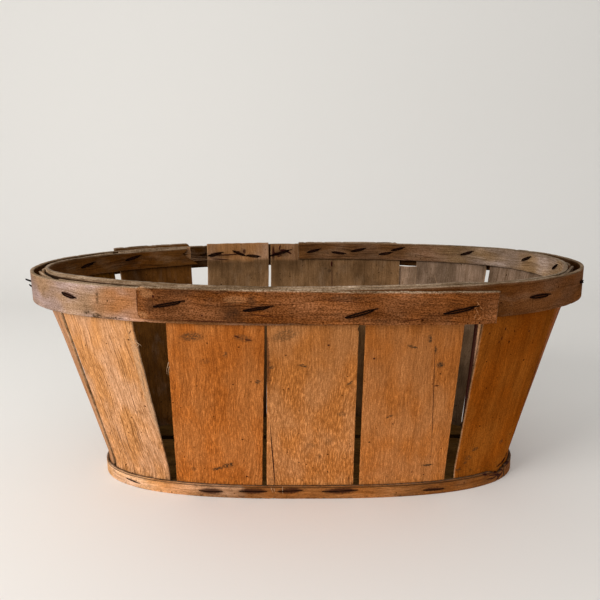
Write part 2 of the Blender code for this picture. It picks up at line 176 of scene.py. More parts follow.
# The front staves from the left: wood, slot, how light its two edges are and how much lower its top is.
FRONT_STAVES = (
    ("pale_front_stave", "pale_stave", (0.85, 0.35), FRONT_STAVE_LOWERING),
    ("orange_front_stave", "orange_stave", EDGE_LIGHT, FRONT_STAVE_LOWERING),
    ("rippled_front_stave", "pale_stave", EDGE_LIGHT, FRONT_STAVE_LOWERING),
    ("plain_front_stave", "pale_stave", EDGE_LIGHT, FRONT_STAVE_LOWERING),
    ("brown_front_stave", "red_stave", (0.45, 0.85), FIFTH_STAVE_LOWERING),
)
# The two back staves that meet without a light edge between them, by number.
LAPPED_EDGES = {3: (0.0, 0.85), 4: (0.85, 0.0)}

# Staples: both ends of each crown, as a distance along the oval and a height.
FRONT_STAPLES = (
    (-0.1082, 0.1866, -0.0861, 0.1913), (-0.0429, 0.1854, -0.0235, 0.1887),
    (0.0273, 0.1801, 0.0480, 0.1857), (0.0967, 0.1806, 0.1211, 0.1846),
)
HOOP_STAPLES = (
    (-0.1954, 0.1905, -0.1803, 0.1880), (0.1719, 0.1864, 0.1933, 0.1866), (0.2470, 0.1894, 0.2600, 0.1886),
    (-0.3600, 0.1855, -0.3460, 0.1905), (0.3450, 0.1880, 0.3590, 0.1850), (0.4350, 0.1860, 0.4490, 0.1890),
    (0.9420, 0.1890, 0.9560, 0.1860),
)
BACK_STAPLES = (
    (0.5450, 0.1880, 0.5590, 0.1850), (0.5990, 0.1860, 0.6130, 0.1890), (0.6400, 0.1885, 0.6540, 0.1860),
    (0.8070, 0.1870, 0.8210, 0.1900), (0.8560, 0.1890, 0.8700, 0.1870),
)
INNER_STAPLES = (
    (0.9292, 0.1890, 0.9067, 0.1920), (0.8634, 0.1895, 0.8450, 0.1936), (0.6448, 0.1897, 0.6290, 0.1937),
    (0.6150, 0.1901, 0.5988, 0.1881), (0.5919, 0.1907, 0.5751, 0.1944), (0.5582, 0.1875, 0.5430, 0.1901),
    (0.5438, 0.1924, 0.5288, 0.1962), (0.4613, 0.1903, 0.4471, 0.1950), (0.3813, 0.1909, 0.3671, 0.1960),
    (0.3183, 0.1902, 0.3067, 0.1956), (-0.2600, 0.1900, -0.2460, 0.1930), (-0.1640, 0.1915, -0.1500, 0.1890),
    (-0.0900, 0.1880, -0.0760, 0.1910), (-0.0150, 0.1900, -0.0010, 0.1875), (0.0600, 0.1880, 0.0740, 0.1905),
    (0.1500, 0.1905, 0.1640, 0.1880), (0.2300, 0.1885, 0.2440, 0.1910),
)
BARED_STAPLES = (
    (0.7780, 0.1850, 0.7658, 0.1908), (0.7636, 0.1878, 0.7467, 0.1913), (0.7340, 0.1929, 0.7189, 0.1866),
    (0.7173, 0.1870, 0.7021, 0.1852), (0.6893, 0.1857, 0.6650, 0.1925),
)
BAND_STAPLES = (
    (-0.1710, 0.0066, -0.1544, 0.0050), (-0.0968, 0.0057, -0.0750, 0.0060),
    (-0.0610, 0.0071, -0.0357, 0.0076), (-0.0268, 0.0072, -0.0045, 0.0086),
    (0.0121, 0.0071, 0.0436, 0.0081), (0.1014, 0.0050, 0.1213, 0.0046), (0.2300, 0.0060, 0.2440, 0.0070),
    (0.3100, 0.0070, 0.3240, 0.0060), (0.3900, 0.0060, 0.4040, 0.0070), (0.4700, 0.0070, 0.4840, 0.0060),
    (0.5500, 0.0060, 0.5640, 0.0070), (0.6300, 0.0065, 0.6440, 0.0060), (0.7100, 0.0060, 0.7240, 0.0070),
)

# Rust round a staple: its length for each length of the crown, then how broad and how strong it is on
# each piece. Two staples of the band have their own, by number.
RUST_REACH = 1.25
RUST = (0.0021, 0.95)
STRIP_RUST = (0.0024, 0.5)
HOOP_RUST = (0.0028, 0.95)
BARED_RUST = (0.0026, 0.95)
BAND_RUST = (0.0036, 0.95)
ODD_BAND_RUST = {0: (0.0011, 0.8), 5: (0.0020, 0.95)}

# Wires that stand off the hoop: distance along it, height and stand-off of each point.
LOOSE_WIRES = (
    ((-0.2700, 0.1902, -0.0020), (-0.2700, 0.1910, 0.0004), (-0.2702, 0.1928, 0.0042)),
    ((-0.2706, 0.1892, -0.0020), (-0.2706, 0.1902, 0.0004), (-0.2704, 0.1921, 0.0040)),
    ((-0.2690, 0.1858, -0.0020), (-0.2690, 0.1866, 0.0002), (-0.2690, 0.1880, 0.0018)),
    ((-0.2698, 0.1850, -0.0020), (-0.2698, 0.1858, 0.0002), (-0.2698, 0.1873, 0.0015)),
    ((0.1205, 0.1848, 0.0036), (0.1262, 0.1835, 0.0037), (0.1317, 0.1828, 0.0030)),
)

# Loose fibres: at the torn hoop the height of the lowest, the step up to the next, how far in they start
# and how far each reaches, then those on the foot band (along, height, lean, reach) and on the staves
# (across, drift, height, reach).
TORN_FIBRE_LOWEST = 0.1835
TORN_FIBRE_STEP = 0.0016
TORN_FIBRE_ROOT = 0.006
TORN_FIBRE_REACHES = (0.058, 0.040, 0.022, 0.034, 0.012, 0.018, 0.010, 0.008, 0.006)
BAND_FIBRES = (
    (-0.0325, 0.0110, 0.0020, 0.0045), (-0.0300, 0.0108, 0.0012, 0.0040), (-0.0225, 0.0118, 0.0004, 0.0070),
)
STAVE_FIBRES = (
    ("stave_front_2", 0.010, -0.030, 0.1400, 0.0110), ("stave_front_2", 0.015, -0.020, 0.1360, 0.0080),
    ("stave_front_1", 0.985, 0.050, 0.1590, 0.0060), ("stave_front_1", 0.985, 0.085, 0.1560, 0.0035),
    ("stave_front_1", 0.980, 0.035, 0.1540, 0.0090), ("stave_front_1", 0.975, 0.070, 0.1500, -0.0050),
    ("stave_left_front", 0.965, 0.010, 0.0500, 0.0260), ("stave_left_front", 0.975, 0.008, 0.0480, 0.0230),
)

# The camera, as found from the ovals of rim and foot.
CAMERA_AT = (0.00132, -0.53880, 0.27331)
CAMERA_RIGHT = (0.999897, 0.010685, -0.009561)
CAMERA_UP = (0.007189, 0.203409, 0.979067)
CAMERA_FORWARD = (-0.012406, 0.979036, -0.203311)
CAMERA_SENSOR = 36.0
CAMERA_LENS = 574.45 / 600 * CAMERA_SENSOR
LAMPS_AIM = (0.0, 0.0, 0.1)
LAMPS = (
    # name, place, size, share of the key light, tint
    ("key_left", (-1.20, -0.95, 0.85), 0.8, 1.0, (1.0, 0.97, 0.93)),
    ("soft_front", (0.1, -1.7, 0.9), 1.4, 0.30, (1.0, 0.98, 0.95)),
)

# Tones from left to right: the place along X, a colour of the panel and how strong it is.
RAMP_REACH = 0.25
OUTER_HOOP_TONES = (
    (-0.225, "hoop", 0.84), (-0.198, "hoop", 1), (-0.153, "hoop", 1), (-0.128, "hoop_middle", 1),
    (-0.080, "hoop_middle", 0.66), (0.060, "hoop_right", 1), (0.152, "hoop_right", 0.80),
    (0.178, "hoop_end", 1), (0.245, "hoop_end", 1.35),
)
INNER_HOOP_TONES = (
    (-0.20, "inside", 1.20), (-0.08, "inside", 1.30), (0.05, "inner_hoop", 1), (0.13, "inner_hoop", 1.20),
    (0.19, "weathered", 1.10), (0.22, "weathered", 1.60),
)
STRIP_TONES = (
    (-0.122, "strip", 1.05), (-0.110, "strip", 0.78), (-0.085, "strip", 0.98), (-0.050, "strip", 0.72),
    (-0.010, "strip", 1.15), (0.050, "strip", 1.10), (0.130, "strip", 1.20),
)
BAND_TONES = (
    (-0.190, "band", 1.10), (-0.140, "band", 1), (-0.120, "band_middle", 1.30), (-0.108, "band_middle", 1),
    (-0.093, "band_middle", 0.68), (-0.067, "band_middle", 0.66), (-0.060, "band_right", 1.15),
    (0.011, "band_right", 1.40), (0.060, "band_right", 1.18), (0.076, "band_right", 0.92),
    (0.150, "band_right", 0.96),
)
TOP_EDGE_TONES = (
    (-0.225, "top_edge", 1.9), (-0.20, "top_edge", 1.35), (-0.08, "top_edge", 1.2), (0.0, "top_edge", 1.7),
    (0.10, "top_edge", 1.4), (0.15, "top_edge", 0.75),
)

# Each wood: its colour or tones and a seed; the strengths of broad bands, fine fibres, short wavy strokes
# (ripples), thin dark cracks in the grain (lines), dark pores, light and dark patches, fine flecks
# (speckles) and grey; how much painted shade darkens it towards the rim, with painted light low down
# (fade); the turn of its grain (slant), its shine (gloss) and the height of its dark line of painted shade
# along a rounded top edge (groove); the colours of its inside, of its cut edges and of its pale marks; how
# light its inside is painted low down, as painted light above 1 and painted shade below 1 (inner_low); and
# its marks. A mark is its place across and along the piece, half its size across and along, its turn and
# its strength.
PLAIN_WOOD = {
    "bands": 0.5, "fibres": 0.5, "ripples": 0.0, "lines": 0.0, "pores": 0.5, "patches": 0.12,
    "speckles": 0.14, "grey": 0.0, "fade": 0.0, "groove": 0.0, "slant": 0.0, "gloss": 0.03,
    "inner": "inside", "inner_low": 1.0, "edge": "cut_edge", "pale_tone": "cut_edge",
    "dark": (), "smudges": (), "stains": (), "pale": (), "rust": (),
}
# The back staves' insides are painted darker low down, as painted shade (inner_low).
BACK_WOOD = {
    "tone": ("bared", 0.86), "inner": "inside_middle", "inner_low": 0.45, "bands": 0.30, "fibres": 0.36,
    "ripples": 0.15, "lines": 0.25, "pores": 0.6, "patches": 0.2, "grey": 0.20,
}
END_WOOD = {"bands": 0.45, "fibres": 0.60, "ripples": 0.2, "lines": 0.6, "pores": 0.6}
WOODS = {
    "pale_front_stave": {
        "tone": "front_1", "seed": 1, "bands": 0.24, "fibres": 0.62, "ripples": 0.85, "lines": 0.60,
        "pores": 0.9, "patches": 0.06, "slant": -0.02, "pale_tone": "pale_streak",
        "pale": ((0.0345, 0.115, 0.0055, 0.07, 0.0, 0.55),),
        "dark": (
            (-0.012, 0.05, 0.00045, 0.022, 0.02, 0.9), (-0.004, 0.046, 0.0004, 0.012, 0.0, 0.8),
            (0.011, 0.06, 0.00035, 0.03, 0.0, 0.8), (0.017, 0.095, 0.00035, 0.036, 0.0, 0.6),
            (-0.015, 0.019, 0.003, 0.0006, 0.7, 0.8), (-0.024, 0.024, 0.0022, 0.0006, -0.6, 0.7),
            (0.0345, 0.164, 0.0004, 0.0032, -0.6, 1.0),
        ),
    },
    "orange_front_stave": {
        "tone": "front_2", "seed": 2, "bands": 0.26, "fibres": 0.52, "ripples": 0.95, "lines": 0.25,
        "pores": 0.45, "patches": 0.05, "speckles": 0.18, "fade": 0.16, "edge": "front_2",
        "smudges": (
            (-0.0175, 0.1635, 0.012, 0.0052, 0.1, 0.8), (0.021, 0.1635, 0.009, 0.004, -0.3, 0.6),
            (0.008, 0.149, 0.0026, 0.0036, 0.0, 0.6), (0.033, 0.1245, 0.003, 0.003, 0.0, 0.95),
            (0.009, 0.0334, 0.0074, 0.0036, 0.4, 1.0), (0.011, 0.0345, 0.004, 0.0026, 0.4, 1.0),
            (0.0, 0.029, 0.0075, 0.0026, 0.4, 1.0), (-0.022, 0.0265, 0.0036, 0.0034, -0.5, 0.6),
            (-0.008, 0.142, 0.006, 0.003, 0.0, 0.3),
        ),
        "dark": (
            (0.0137, 0.1215, 0.0008, 0.0007, 0.0, 1.0), (0.0255, 0.0205, 0.0012, 0.001, 0.0, 1.0),
            (0.0168, 0.1645, 0.003, 0.0008, -0.3, 0.85), (0.025, 0.162, 0.0032, 0.0008, -0.2, 0.85),
            (-0.03, 0.096, 0.0006, 0.0006, 0.0, 0.8),
        ),
    },
    "rippled_front_stave": {
        "tone": "front_3", "seed": 3, "bands": 0.16, "fibres": 0.45, "ripples": 1.20, "lines": 0.15,
        "pores": 0.3, "patches": 0.04, "speckles": 0.18, "fade": 0.20, "edge": "front_3",
        # The soft dark brown mark along the left edge, listed with the rust and drawn in its colour, is
        # painted shade where the edge bends back.
        "rust": ((-0.0338, 0.15, 0.0032, 0.042, 0.03, 0.75),),
        "dark": (
            (-0.0318, 0.041, 0.00066, 0.05, 0.032, 1.0), (0.0335, 0.0166, 0.0005, 0.0045, 0.0, 0.9),
            (0.0115, 0.1575, 0.0011, 0.001, 0.0, 0.95), (-0.0195, 0.149, 0.0009, 0.0008, 0.0, 0.8),
            (-0.018, 0.118, 0.001, 0.0008, 0.0, 0.8), (0.015, 0.0265, 0.001, 0.0009, 0.0, 0.8),
            (0.029, 0.042, 0.0009, 0.0008, 0.0, 0.8),
        ),
        "smudges": (
            (-0.02, 0.166, 0.013, 0.0066, 0.3, 0.6), (-0.0065, 0.1395, 0.0052, 0.0016, -0.3, 0.95),
            (-0.03, 0.138, 0.003, 0.002, 0.5, 0.85), (0.029, 0.123, 0.004, 0.0016, 0.7, 0.95),
            (0.008, 0.0455, 0.0016, 0.004, 0.2, 0.6), (0.0245, 0.092, 0.0048, 0.0036, 0.0, 0.6),
            (0.001, 0.058, 0.006, 0.004, 0.0, 0.35), (0.015, 0.062, 0.005, 0.005, 0.0, 0.35),
        ),
    },
    "plain_front_stave": {
        "tone": "front_4", "seed": 4, "bands": 0.24, "fibres": 0.46, "ripples": 0.70, "lines": 0.20,
        "pores": 0.4, "patches": 0.05, "speckles": 0.18, "fade": 0.20, "edge": "front_4",
        "dark": (
            (0.0194, 0.1007, 0.00042, 0.072, 0.073, 0.85), (-0.0305, 0.1449, 0.0011, 0.001, 0.0, 0.95),
            (0.0205, 0.1164, 0.0026, 0.0008, 0.0, 0.9), (-0.013, 0.08, 0.001, 0.0009, 0.0, 0.8),
            (0.0185, 0.019, 0.0009, 0.0008, 0.0, 0.9), (0.0075, 0.023, 0.0007, 0.0012, 0.0, 0.8),
        ),
        "smudges": (
            (0.0218, 0.1361, 0.0044, 0.0036, 0.0, 1.0), (0.021, 0.03, 0.0075, 0.002, 0.0, 1.0),
            (0.011, 0.16, 0.002, 0.005, 0.2, 0.95), (-0.016, 0.088, 0.004, 0.0016, 0.5, 0.9),
            (-0.002, 0.154, 0.006, 0.0016, -0.4, 0.9), (0.0165, 0.15, 0.0016, 0.0044, 0.0, 0.9),
        ),
    },
    "brown_front_stave": {
        "tone": "front_5", "seed": 5, "bands": 0.38, "fibres": 0.42, "ripples": 0.35, "lines": 0.20,
        "speckles": 0.22, "fade": 0.24, "gloss": 0.0,
        "dark": (
            (-0.018, 0.162, 0.001, 0.0016, 0.0, 0.8), (-0.0195, 0.154, 0.0008, 0.002, 0.0, 0.7),
            (-0.0215, 0.151, 0.0009, 0.0009, 0.0, 0.8), (0.01, 0.156, 0.001, 0.0014, 0.3, 0.7),
            (-0.033, 0.16, 0.0009, 0.0012, 0.0, 0.7), (0.026, 0.015, 0.007, 0.0022, 0.3, 1.0),
            (0.018, 0.013, 0.006, 0.0012, 0.2, 0.9), (0.032, 0.019, 0.003, 0.003, 0.3, 0.9),
        ),
        "smudges": (
            (-0.0195, 0.0415, 0.0044, 0.0022, 0.4, 0.9), (-0.0245, 0.0325, 0.005, 0.004, 0.0, 0.6),
            (-0.0265, 0.027, 0.0024, 0.0022, 0.0, 0.9), (-0.0325, 0.02, 0.0034, 0.0014, 0.2, 1.0),
            (0.012, 0.042, 0.0034, 0.0032, 0.3, 0.8),
        ),
    },
    # The first back stave's inside is painted lighter low down, as painted light.
    "back_stave_1": {**BACK_WOOD, "seed": 41, "inner": "inside", "inner_low": 1.60},
    "back_stave_2": {
        **BACK_WOOD, "seed": 42,
        "dark": (
            (0.01, 0.1885, 0.024, 0.001, -0.03, 0.95), (0.022, 0.1835, 0.014, 0.0011, 0.1, 0.95),
            (-0.0073, 0.192, 0.0024, 0.0036, 0.0, 0.8), (0.024, 0.19, 0.0056, 0.0014, 0.1, 0.9),
            (0.002, 0.1915, 0.006, 0.0009, -0.2, 0.7), (0.031, 0.187, 0.004, 0.0012, -0.3, 0.9),
            (-0.02, 0.1868, 0.008, 0.0006, 0.05, 0.6),
        ),
        "stains": (
            (0.018, 0.187, 0.02, 0.0048, 0.0, 0.45), (-0.006, 0.1915, 0.006, 0.006, 0.0, 0.5),
        ),
    },
    "back_stave_3": {
        **BACK_WOOD, "seed": 43, "tone": ("bared", 0.62), "inner": ("inside_middle", 0.96),
        "dark": (
            (0.031, 0.188, 0.006, 0.0016, 0.53, 1.0), (0.0225, 0.1925, 0.0056, 0.0017, 0.0, 1.0),
            (0.016, 0.19, 0.0052, 0.0015, 0.5, 1.0), (0.0265, 0.1955, 0.0014, 0.0044, 0.3, 0.95),
            (0.0345, 0.19, 0.0016, 0.01, 0.05, 0.9), (0.027, 0.1855, 0.004, 0.0012, -0.3, 0.8),
            (-0.036, 0.1755, 0.0016, 0.0046, 0.0, 1.0), (-0.0364, 0.156, 0.0007, 0.02, 0.0, 0.8),
        ),
        "stains": (
            (0.024, 0.189, 0.0125, 0.0062, 0.1, 0.75), (0.034, 0.188, 0.003, 0.012, 0.0, 0.7),
        ),
        "smudges": (
            (-0.0335, 0.167, 0.0032, 0.003, 0.5, 0.9), (-0.029, 0.17, 0.0022, 0.0014, 0.0, 0.7),
        ),
    },
    "back_stave_4": {
        **BACK_WOOD, "seed": 44,
        "smudges": (
            (0.036, 0.164, 0.0018, 0.003, 0.0, 0.7), (-0.01, 0.15, 0.01, 0.008, 0.2, 0.4),
        ),
    },
    "back_stave_5": {
        **BACK_WOOD, "seed": 45, "inner": "inside_grey",
        "smudges": (
            (0.022, 0.158, 0.009, 0.007, 0.3, 0.5), (-0.012, 0.15, 0.008, 0.009, 0.0, 0.4),
        ),
        "pale": ((0.016, 0.16, 0.0004, 0.0075, -0.45, 0.5),),
    },
    # The staves of the right end are painted in a darker brown, with darker edges, as painted shade on the
    # side away from the light; the left end keeps the lighter tan.
    "right_end_stave": {
        **END_WOOD, "tone": ("front_5", 0.95), "seed": 12, "inner": "inside_grey", "edge": ("front_5", 0.7),
    },
    "left_end_stave": {**END_WOOD, "tone": "end", "seed": 13, "inner": "inside_left"},
    "pale_splint": {
        "tone": "splint", "seed": 15, "bands": 0.4, "fibres": 0.6, "ripples": 0.2, "lines": 0.3,
        "edge": "crack",
        "dark": ((-0.019, 0.11, 0.0027, 0.3, 0.025, 0.97),),
    },
    "grey_splint": {
        "tone": "end", "seed": 16, "bands": 0.4, "ripples": 0.1, "lines": 0.3, "grey": 0.4,
        "inner": ("inside_grey", 1.45),
    },
    "outer_hoop_wood": {
        "tone": OUTER_HOOP_TONES, "seed": 21, "bands": 0.45, "fibres": 0.30, "ripples": 0.15, "lines": 0.30,
        "pores": 0.7, "patches": 0.24, "speckles": 0.28, "grey": 0.12, "gloss": 0.0, "edge": "top_edge",
        # Its inner face, against the staves, takes the inside colour at 0.45: painted shade, darker than the
        # old wood itself.
        "inner": ("inside", 0.45),
        "smudges": (
            (0.002, -0.1589, 0.003, 0.007, 0.0, 1.0), (0.004, -0.1689, 0.0022, 0.0046, 0.0, 0.9),
            (0.016, -0.1575, 0.007, 0.0022, 0.1, 0.75), (0.009, -0.154, 0.006, 0.004, 0.3, 0.2),
            (0.0015, -0.145, 0.0014, 0.014, 0.0, 0.8), (0.013, -0.225, 0.007, 0.004, 0.2, 0.35),
        ),
    },
    # The inner hoop's face against the staves is painted in the grime colour as painted shade.
    "inner_hoop_wood": {
        "tone": INNER_HOOP_TONES, "seed": 24, "bands": 0.65, "fibres": 0.6, "ripples": 0.1, "lines": 0.5,
        "pores": 0.7, "patches": 0.30, "speckles": 0.24, "grey": 0.22, "edge": "top_edge", "inner": "grime",
        "dark": (
            (0.002, 0.53, 0.00035, 0.016, -0.16, 0.8), (0.0062, 0.506, 0.00035, 0.014, -0.18, 0.8),
            (0.0092, 0.482, 0.00035, 0.014, -0.07, 0.8), (0.0098, 0.459, 0.0003, 0.012, 0.06, 0.7),
        ),
    },
    "front_strip_wood": {
        "tone": STRIP_TONES, "seed": 27, "bands": 0.70, "fibres": 0.60, "ripples": 0.60, "lines": 0.5,
        "pores": 1.0, "patches": 0.26, "speckles": 0.52, "grey": 0.12, "gloss": 0.0,
        "edge": ("top_edge", 1.1), "pale_tone": "front_1",
        "dark": (
            (0.0172, -0.1077, 0.0012, 0.0012, 0.0, 1.0), (0.013, -0.1205, 0.009, 0.0006, 0.05, 0.6),
            (0.006, -0.03, 0.0005, 0.014, 0.1, 0.7), (0.017, 0.025, 0.0004, 0.02, 0.05, 0.6),
            (0.004, 0.075, 0.0005, 0.012, -0.1, 0.7), (0.005, -0.072, 0.0009, 0.0009, 0.0, 0.9),
            (0.0008, -0.07, 0.0006, 0.024, 0.0, 0.7),
        ),
        "stains": (
            (0.008, -0.049, 0.0115, 0.015, 0.0, 0.62), (0.0165, -0.037, 0.0055, 0.0046, 0.2, 0.6),
            (0.011, -0.111, 0.008, 0.007, 0.0, 0.5), (0.021, -0.085, 0.0036, 0.022, 0.0, 0.5),
            (0.019, 0.03, 0.0026, 0.03, 0.0, 0.4), (0.003, 0.045, 0.0026, 0.026, 0.0, 0.4),
            (0.006, 0.09, 0.006, 0.014, 0.0, 0.3), (0.015, 0.105, 0.005, 0.01, 0.0, 0.3),
        ),
        "pale": (
            (0.0168, -0.048, 0.0036, 0.011, 0.0, 0.26), (0.019, -0.113, 0.004, 0.007, 0.0, 0.3),
            (0.0035, -0.1165, 0.003, 0.005, 0.3, 0.3), (0.0225, -0.117, 0.002, 0.005, 0.0, 0.35),
            (0.013, 0.1215, 0.003, 0.0005, 0.6, 0.5), (0.0155, 0.1225, 0.0026, 0.0004, -0.7, 0.5),
            (0.009, 0.1225, 0.0034, 0.0004, -0.4, 0.45), (0.006, 0.121, 0.003, 0.0004, 0.3, 0.5),
            (0.012, 0.1255, 0.0026, 0.0004, -0.8, 0.4), (0.0045, 0.1245, 0.0024, 0.0004, 0.8, 0.4),
        ),
    },
    "back_strip_wood": {
        "tone": "hoop_right", "seed": 29, "fibres": 0.6, "ripples": 0.1, "lines": 0.4, "pores": 0.6,
        "grey": 0.4, "edge": "top_edge",
    },
    "foot_band_wood": {
        "tone": BAND_TONES, "seed": 31, "bands": 0.40, "fibres": 0.60, "ripples": 0.25, "lines": 0.3,
        "pores": 0.6, "patches": 0.20, "grey": 0.15, "groove": BAND_HEIGHT - 0.0016,
        "edge": ("top_edge", 0.38),
        "dark": (
            (0.0062, 0.17925, 0.0018, 0.007, 0.3, 1.0), (0.004, 0.18325, 0.0014, 0.008, -0.5, 1.0),
            (0.0085, 0.18625, 0.0012, 0.004, 0.6, 0.9), (0.008, 0.196, 0.001, 0.003, -0.4, 0.9),
            (0.0108, 0.16305, 0.0016, 0.0042, 0.2, 1.0), (0.0092, 0.17825, 0.0011, 0.01, 0.05, 1.0),
            (0.0114, 0.197, 0.0013, 0.006, 0.0, 1.0), (0.005, 0.201, 0.0011, 0.0013, 0.0, 0.9),
            (0.0045, 0.17425, 0.0009, 0.005, -0.2, 0.95), (0.0075, 0.17325, 0.001, 0.007, 0.2, 0.9),
            (0.005, 0.16925, 0.0008, 0.006, 0.1, 0.8), (0.0095, 0.16725, 0.0008, 0.008, -0.1, 0.7),
        ),
    },
    # The floor boards' rounded edges take the grime colour as painted shade, which darkens the seam between
    # them and their rim.
    "floor_board_wood": {
        "tone": "floor", "seed": 34, "fibres": 0.6, "ripples": 0.15, "lines": 0.4, "pores": 0.8,
        "patches": 0.25, "inner": "floor", "edge": "grime",
    },
}


class Oval:
    """A closed oval, read by the distance along it from the middle of the front."""

    def __init__(self, name, length, width, shape, shift=0.0):
        half_length = length / 2
        half_width = width / 2
        angle = np.linspace(-math.pi / 2, 1.5 * math.pi, 2 * PATH_POINTS + 1)
        reach = np.abs(np.cos(angle) / half_length) ** shape
        reach = (reach + np.abs(np.sin(angle) / half_width) ** shape) ** (-1 / shape)
        self.name = name
        self.x = reach * np.cos(angle)
        self.y = reach * np.sin(angle)
        normal_x = np.sign(self.x) * np.abs(self.x / half_length) ** (shape - 1) / half_length
        normal_y = np.sign(self.y) * np.abs(self.y / half_width) ** (shape - 1) / half_width
        size = np.hypot(normal_x, normal_y)
        self.normal_x = normal_x / size
        self.normal_y = normal_y / size
        self.x += shift
        steps = np.hypot(np.diff(self.x), np.diff(self.y))
        self.distance = np.concatenate([[0.0], np.cumsum(steps)])
        self.total = float(self.distance[-1])

    def normal(self, along):
        along = np.mod(along, self.total)
        x = np.interp(along, self.distance, self.normal_x)
        y = np.interp(along, self.distance, self.normal_y)
        size = np.hypot(x, y)
        return x / size, y / size

    def point(self, along, inset):
        """Points at distances along the oval, moved inwards by inset."""
        normal_x, normal_y = self.normal(along)
        along = np.mod(along, self.total)
        x = np.interp(along, self.distance, self.x)
        y = np.interp(along, self.distance, self.y)
        return x - normal_x * inset, y - normal_y * inset

    def spot(self, along, height, inset):
        """One plain point."""
        x, y = self.point(along, inset)
        return float(x), float(y), float(height)

    def run_from(self, start):
        """A function that gives each place its distance in a strip which starts at start."""
        return lambda along: start + (along - start) % self.total

    def path(self):
        """The oval as a closed curve that starts at the middle of the front."""
        name = self.name + "_path"
        found = bpy.data.objects.get(name)
        if found:
            return found
        along = np.linspace(0, self.total, PATH_POINTS + 1)[:-1]
        x, y = self.point(along, 0.0)
        curve = bpy.data.curves.new(name, "CURVE")
        curve.dimensions = "3D"
        spline = curve.splines.new("POLY")
        spline.points.add(PATH_POINTS - 1)
        points = np.stack([x, y, np.zeros_like(x), np.ones_like(x)], -1)
        spline.points.foreach_set("co", points.astype(np.float32).ravel())
        spline.use_cyclic_u = True
        return linked(bpy.data.objects.new(name, curve))

    def remove_path(self):
        path = bpy.data.objects.get(self.name + "_path")
        if path:
            bpy.data.objects.remove(path, do_unlink=True)


RIM = Oval("rim", RIM_HIGH[0] - RIM_LOW[0], RIM_HIGH[1] - RIM_LOW[1], RIM_SHAPE)
FOOT = Oval("foot", FOOT_LENGTH, FOOT_WIDTH, FOOT_SHAPE, FOOT_SHIFT)
LAYER = STAVE_THICKNESS + GAP
STAVE_RIM_INSET = HOOP_THICKNESS + GAP
STAVE_FOOT_INSET = BAND_THICKNESS + GAP
STRIP_INSET = -GAP - STRIP_THICKNESS


def smooth_step(value):
    value = np.clip(value, 0.0, 1.0)
    return value * value * (3 - 2 * value)


def bow(along):
    """How far a stave's middle stands in from the rim: little at the sides, more at the round ends."""
    return SIDE_BOW + END_BOW * RIM.normal(along)[0] ** 2


def rise_between_bends(along, height):
    """0 up the straight foot of a stave, 1 up its straight top, and an eased slope between."""
    lean = RIM.normal(along)[0] ** 2
    low = BAND_HEIGHT + GAP
    span = RIM_HEIGHT - GAP - OUTER_HOOP_HEIGHT * (1 - END_LEAN * lean) - low
    bend = np.minimum(STAVE_BEND, LARGEST_BEND_SHARE * span)
    x = np.clip(height - low, 0.0, span)
    left = span - x
    travelled = np.where(left < bend, span - bend - left * left / (2 * bend), x - bend / 2)
    travelled = np.where(x < bend, x * x / (2 * bend), travelled)
    return travelled / (span - bend)


def wall_point(rim_along, foot_along, height, depth):
    """A point of the wall between its places at the rim and at the foot, moved inwards by depth."""
    rise = rise_between_bends(rim_along, height)
    rim_x, rim_y = RIM.point(rim_along, STAVE_RIM_INSET + depth)
    foot_x, foot_y = FOOT.point(foot_along, STAVE_FOOT_INSET + depth)
    return np.stack([foot_x + (rim_x - foot_x) * rise, foot_y + (rim_y - foot_y) * rise, height], -1)


def front_depth(rim_along, across, rise):
    return rise * bow(rim_along) * (EDGE_SHARE + (1 - EDGE_SHARE) * across)


def second_layer(across, rise):
    return LAYER * (1 - across * rise) + BACK_STAVE_STANDOFF * 4 * rise * (1 - rise)


def behind_depth(rim_along, across, rise):
    return front_depth(rim_along, across, rise) + second_layer(across, rise)


def splint_depth(rim_along, across, rise):
    return LAYER + rise * bow(rim_along)


def outer_splint_depth(rim_along, across, rise):
    return np.full_like(across * rise, -LAYER)


def inner_hoop_foot(along):
    """The height of the inner hoop's lower edge, which waves up and down round the rim."""
    height = INNER_HOOP_RISE + RIM_HEIGHT - INNER_HOOP_HEIGHT
    for middle, half, rise in INNER_HOOP_HUMPS:
        away = np.abs(np.mod(along - middle + RIM.total / 2, RIM.total) - RIM.total / 2)
        height = height + rise * (1 + np.cos(math.pi * np.minimum(away / half, 1.0))) / 2
    return height


def front_strip_share(along):
    start, end = FRONT_STRIP
    return (along - start) / (end - start)


def front_strip_foot(along):
    """The height of the front strip's lower edge, which sags towards the right."""
    return RIM_HEIGHT + FRONT_STRIP_RISE - FRONT_STRIP_SAG * front_strip_share(along) ** 2 - STRIP_HEIGHT


def front_strip_inset(along, height=0.0):
    return STRIP_INSET - FRONT_STRIP_SPRING * np.clip(front_strip_share(along), 0, 1) ** 3


def stave_places():
    """Each stave's near edge and width along the rim and along the foot, and its top."""
    rim_stretch = (RIM.total - sum(row[2] for row in STAVES)) / sum(row[1] for row in STAVES)
    foot_stretch = (FOOT.total - sum(row[4] for row in STAVES)) / sum(row[3] for row in STAVES)
    rim_along = FIRST_STAVE_AT_RIM
    foot_along = FIRST_STAVE_AT_FOOT
    places = {}
    for name, rim_width, rim_gap, foot_width, foot_gap, top in STAVES:
        rim_width *= rim_stretch
        foot_width *= foot_stretch
        places[name] = ((rim_along, rim_width), (foot_along, foot_width), top)
        rim_along += rim_width + rim_gap
        foot_along += foot_width + foot_gap
    return places


PLACES = stave_places()
SPLINT_RIM = (PLACES["stave_front_5"][0][0] - SPLINT_LEAD, SPLINT_RIM_WIDTH)
SPLINT_FOOT = (PLACES["stave_front_5"][1][0] + SPLINT_FOOT_TUCK, SPLINT_FOOT_WIDTH)


